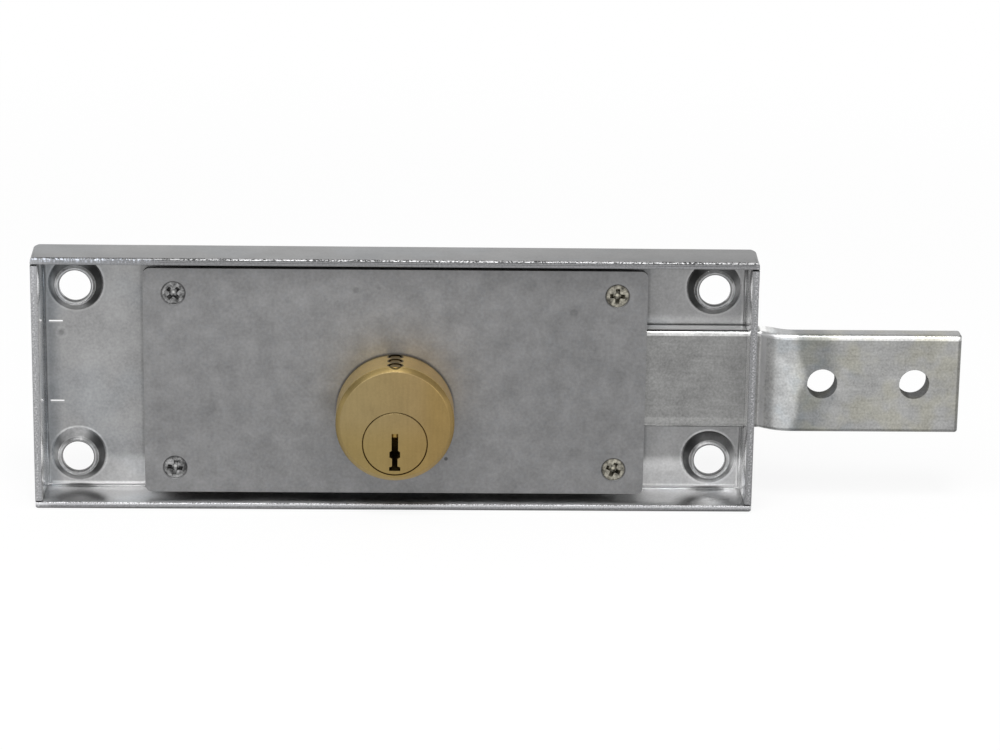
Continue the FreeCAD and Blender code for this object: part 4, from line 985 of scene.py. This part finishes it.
class LOCK_OT_stage(bpy.types.Operator):
    """Set the floor, lamps, background and camera"""
    bl_idname = "lock.stage"
    bl_label = "Stage"

    def execute(self, context):
        settings = context.scene.lock_stage
        self.add_floor(settings)
        self.add_sky(context.scene, settings)
        self.add_lamp("key_lamp", settings.key_power, size=1.1, place=(-0.55, -0.95, 1.05))
        self.add_lamp("fill_lamp", settings.fill_power, size=0.9, place=(0.95, -0.9, 0.55))
        self.add_lamp("top_lamp", settings.top_power, size=0.35, place=(0.05, -0.6, 1.05))
        self.add_camera(context.scene)
        return {"FINISHED"}

    @staticmethod
    def add_floor(settings):
        """A matt floor that the camera sees nearly white, and white further off."""
        bpy.ops.object.select_all(action="DESELECT")
        bpy.ops.mesh.primitive_plane_add(
            size=settings.floor_size, location=(0, 0, -(CASE_TOP + FLOOR_GAP) * MM))
        floor = bpy.context.object
        floor.name = "floor"
        finish = Finish("floor")
        far = distance(finish.x, finish.y).step(FADE_START, FADE_END)
        matt = finish.node("ShaderNodeBsdfDiffuse", inputs={"Color": settings.floor_colour})
        glow = finish.node("ShaderNodeEmission", inputs={"Color": (1, 1, 1), "Strength": 1.0})
        mixed = finish.node("ShaderNodeMixShader", inputs={
            0: finish.seen_rays() * (FLOOR_GLOW + far * (1.0 - FLOOR_GLOW)),
            1: matt.outputs[0], 2: glow.outputs[0]})
        finish.node("ShaderNodeOutputMaterial", inputs={"Surface": mixed.outputs[0]})
        floor.data.materials.append(finish.material)

    @staticmethod
    def add_sky(scene, settings):
        """Even light from all round, which the camera sees as white."""
        world = bpy.data.worlds.new("studio")
        world.use_nodes = True
        scene.world = world
        sky = Shader(world.node_tree)
        light = sky.node("ShaderNodeBackground", inputs={
            "Color": (1, 1, 1), "Strength": settings.sky_strength})
        shown = sky.node("ShaderNodeBackground", inputs={"Color": (1, 1, 1), "Strength": 1.0})
        mixed = sky.node("ShaderNodeMixShader", inputs={
            0: sky.seen_rays(), 1: light.outputs[0], 2: shown.outputs[0]})
        sky.node("ShaderNodeOutputWorld", inputs={"Surface": mixed.outputs[0]})

    @staticmethod
    def add_lamp(name, power, size, place):
        """A round lamp of a size and at a place in metres, aimed at the lock's middle."""
        bpy.ops.object.select_all(action="DESELECT")
        aim = (-Vector(place)).to_track_quat("-Z", "Y").to_euler()
        bpy.ops.object.light_add(type="AREA", location=place, rotation=aim)
        lamp = bpy.context.object
        lamp.name = name
        lamp.data.shape = "DISK"
        lamp.data.size = size
        lamp.data.energy = power

    @staticmethod
    def add_camera(scene):
        """The camera that the photograph was taken with, as far as it is known."""
        bpy.ops.object.select_all(action="DESELECT")
        bpy.ops.object.camera_add()
        camera = bpy.context.object
        camera.name = "photo_camera"
        turn = Matrix((CAMERA_RIGHT, CAMERA_UP, -CAMERA_AHEAD)).transposed().to_4x4()
        camera.matrix_world = Matrix.Translation(CAMERA_PLACE) @ turn
        camera.data.sensor_width = SENSOR_WIDTH
        camera.data.lens = CAMERA_LENS
        camera.data.clip_start = 0.01
        scene.camera = camera


class LOCK_PT_panel(bpy.types.Panel):
    """Lists the lock's pieces and settings"""
    bl_idname = "LOCK_PT_panel"
    bl_label = "Shutter Lock"
    bl_space_type = "VIEW_3D"
    bl_region_type = "UI"
    bl_category = "Shutter Lock"

    def draw(self, context):
        for operator in OPERATORS:
            self.layout.operator(operator.bl_idname)
        for group in (context.scene.lock_stage, context.scene.lock_detail,
                      context.scene.lock_finish):
            box = self.layout.box()
            for name in group.__annotations__:
                box.prop(group, name)


SETTINGS = (StageSettings, DetailSettings, FinishSettings)
OPERATORS = (LOCK_OT_case, LOCK_OT_cover, LOCK_OT_screws, LOCK_OT_bolt, LOCK_OT_works,
             LOCK_OT_springs, LOCK_OT_cylinder, LOCK_OT_stage)
CLASSES = (*SETTINGS, *OPERATORS, LOCK_PT_panel)


def register():
    """Add the classes and the scene's settings."""
    for item in CLASSES:
        bpy.utils.register_class(item)
    bpy.types.Scene.lock_stage = bpy.props.PointerProperty(type=StageSettings)
    bpy.types.Scene.lock_detail = bpy.props.PointerProperty(type=DetailSettings)
    bpy.types.Scene.lock_finish = bpy.props.PointerProperty(type=FinishSettings)


def unregister():
    """Take the settings and the classes out again."""
    del bpy.types.Scene.lock_finish
    del bpy.types.Scene.lock_detail
    del bpy.types.Scene.lock_stage
    for item in reversed(CLASSES):
        bpy.utils.unregister_class(item)


def main():
    """Register the add-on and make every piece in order."""
    register()
    view = bpy.context.scene.view_settings
    view.view_transform = "Standard"
    for operator in OPERATORS:
        group, name = operator.bl_idname.split(".")
        getattr(getattr(bpy.ops, group), name)()


if __name__ == "__main__":
    main()
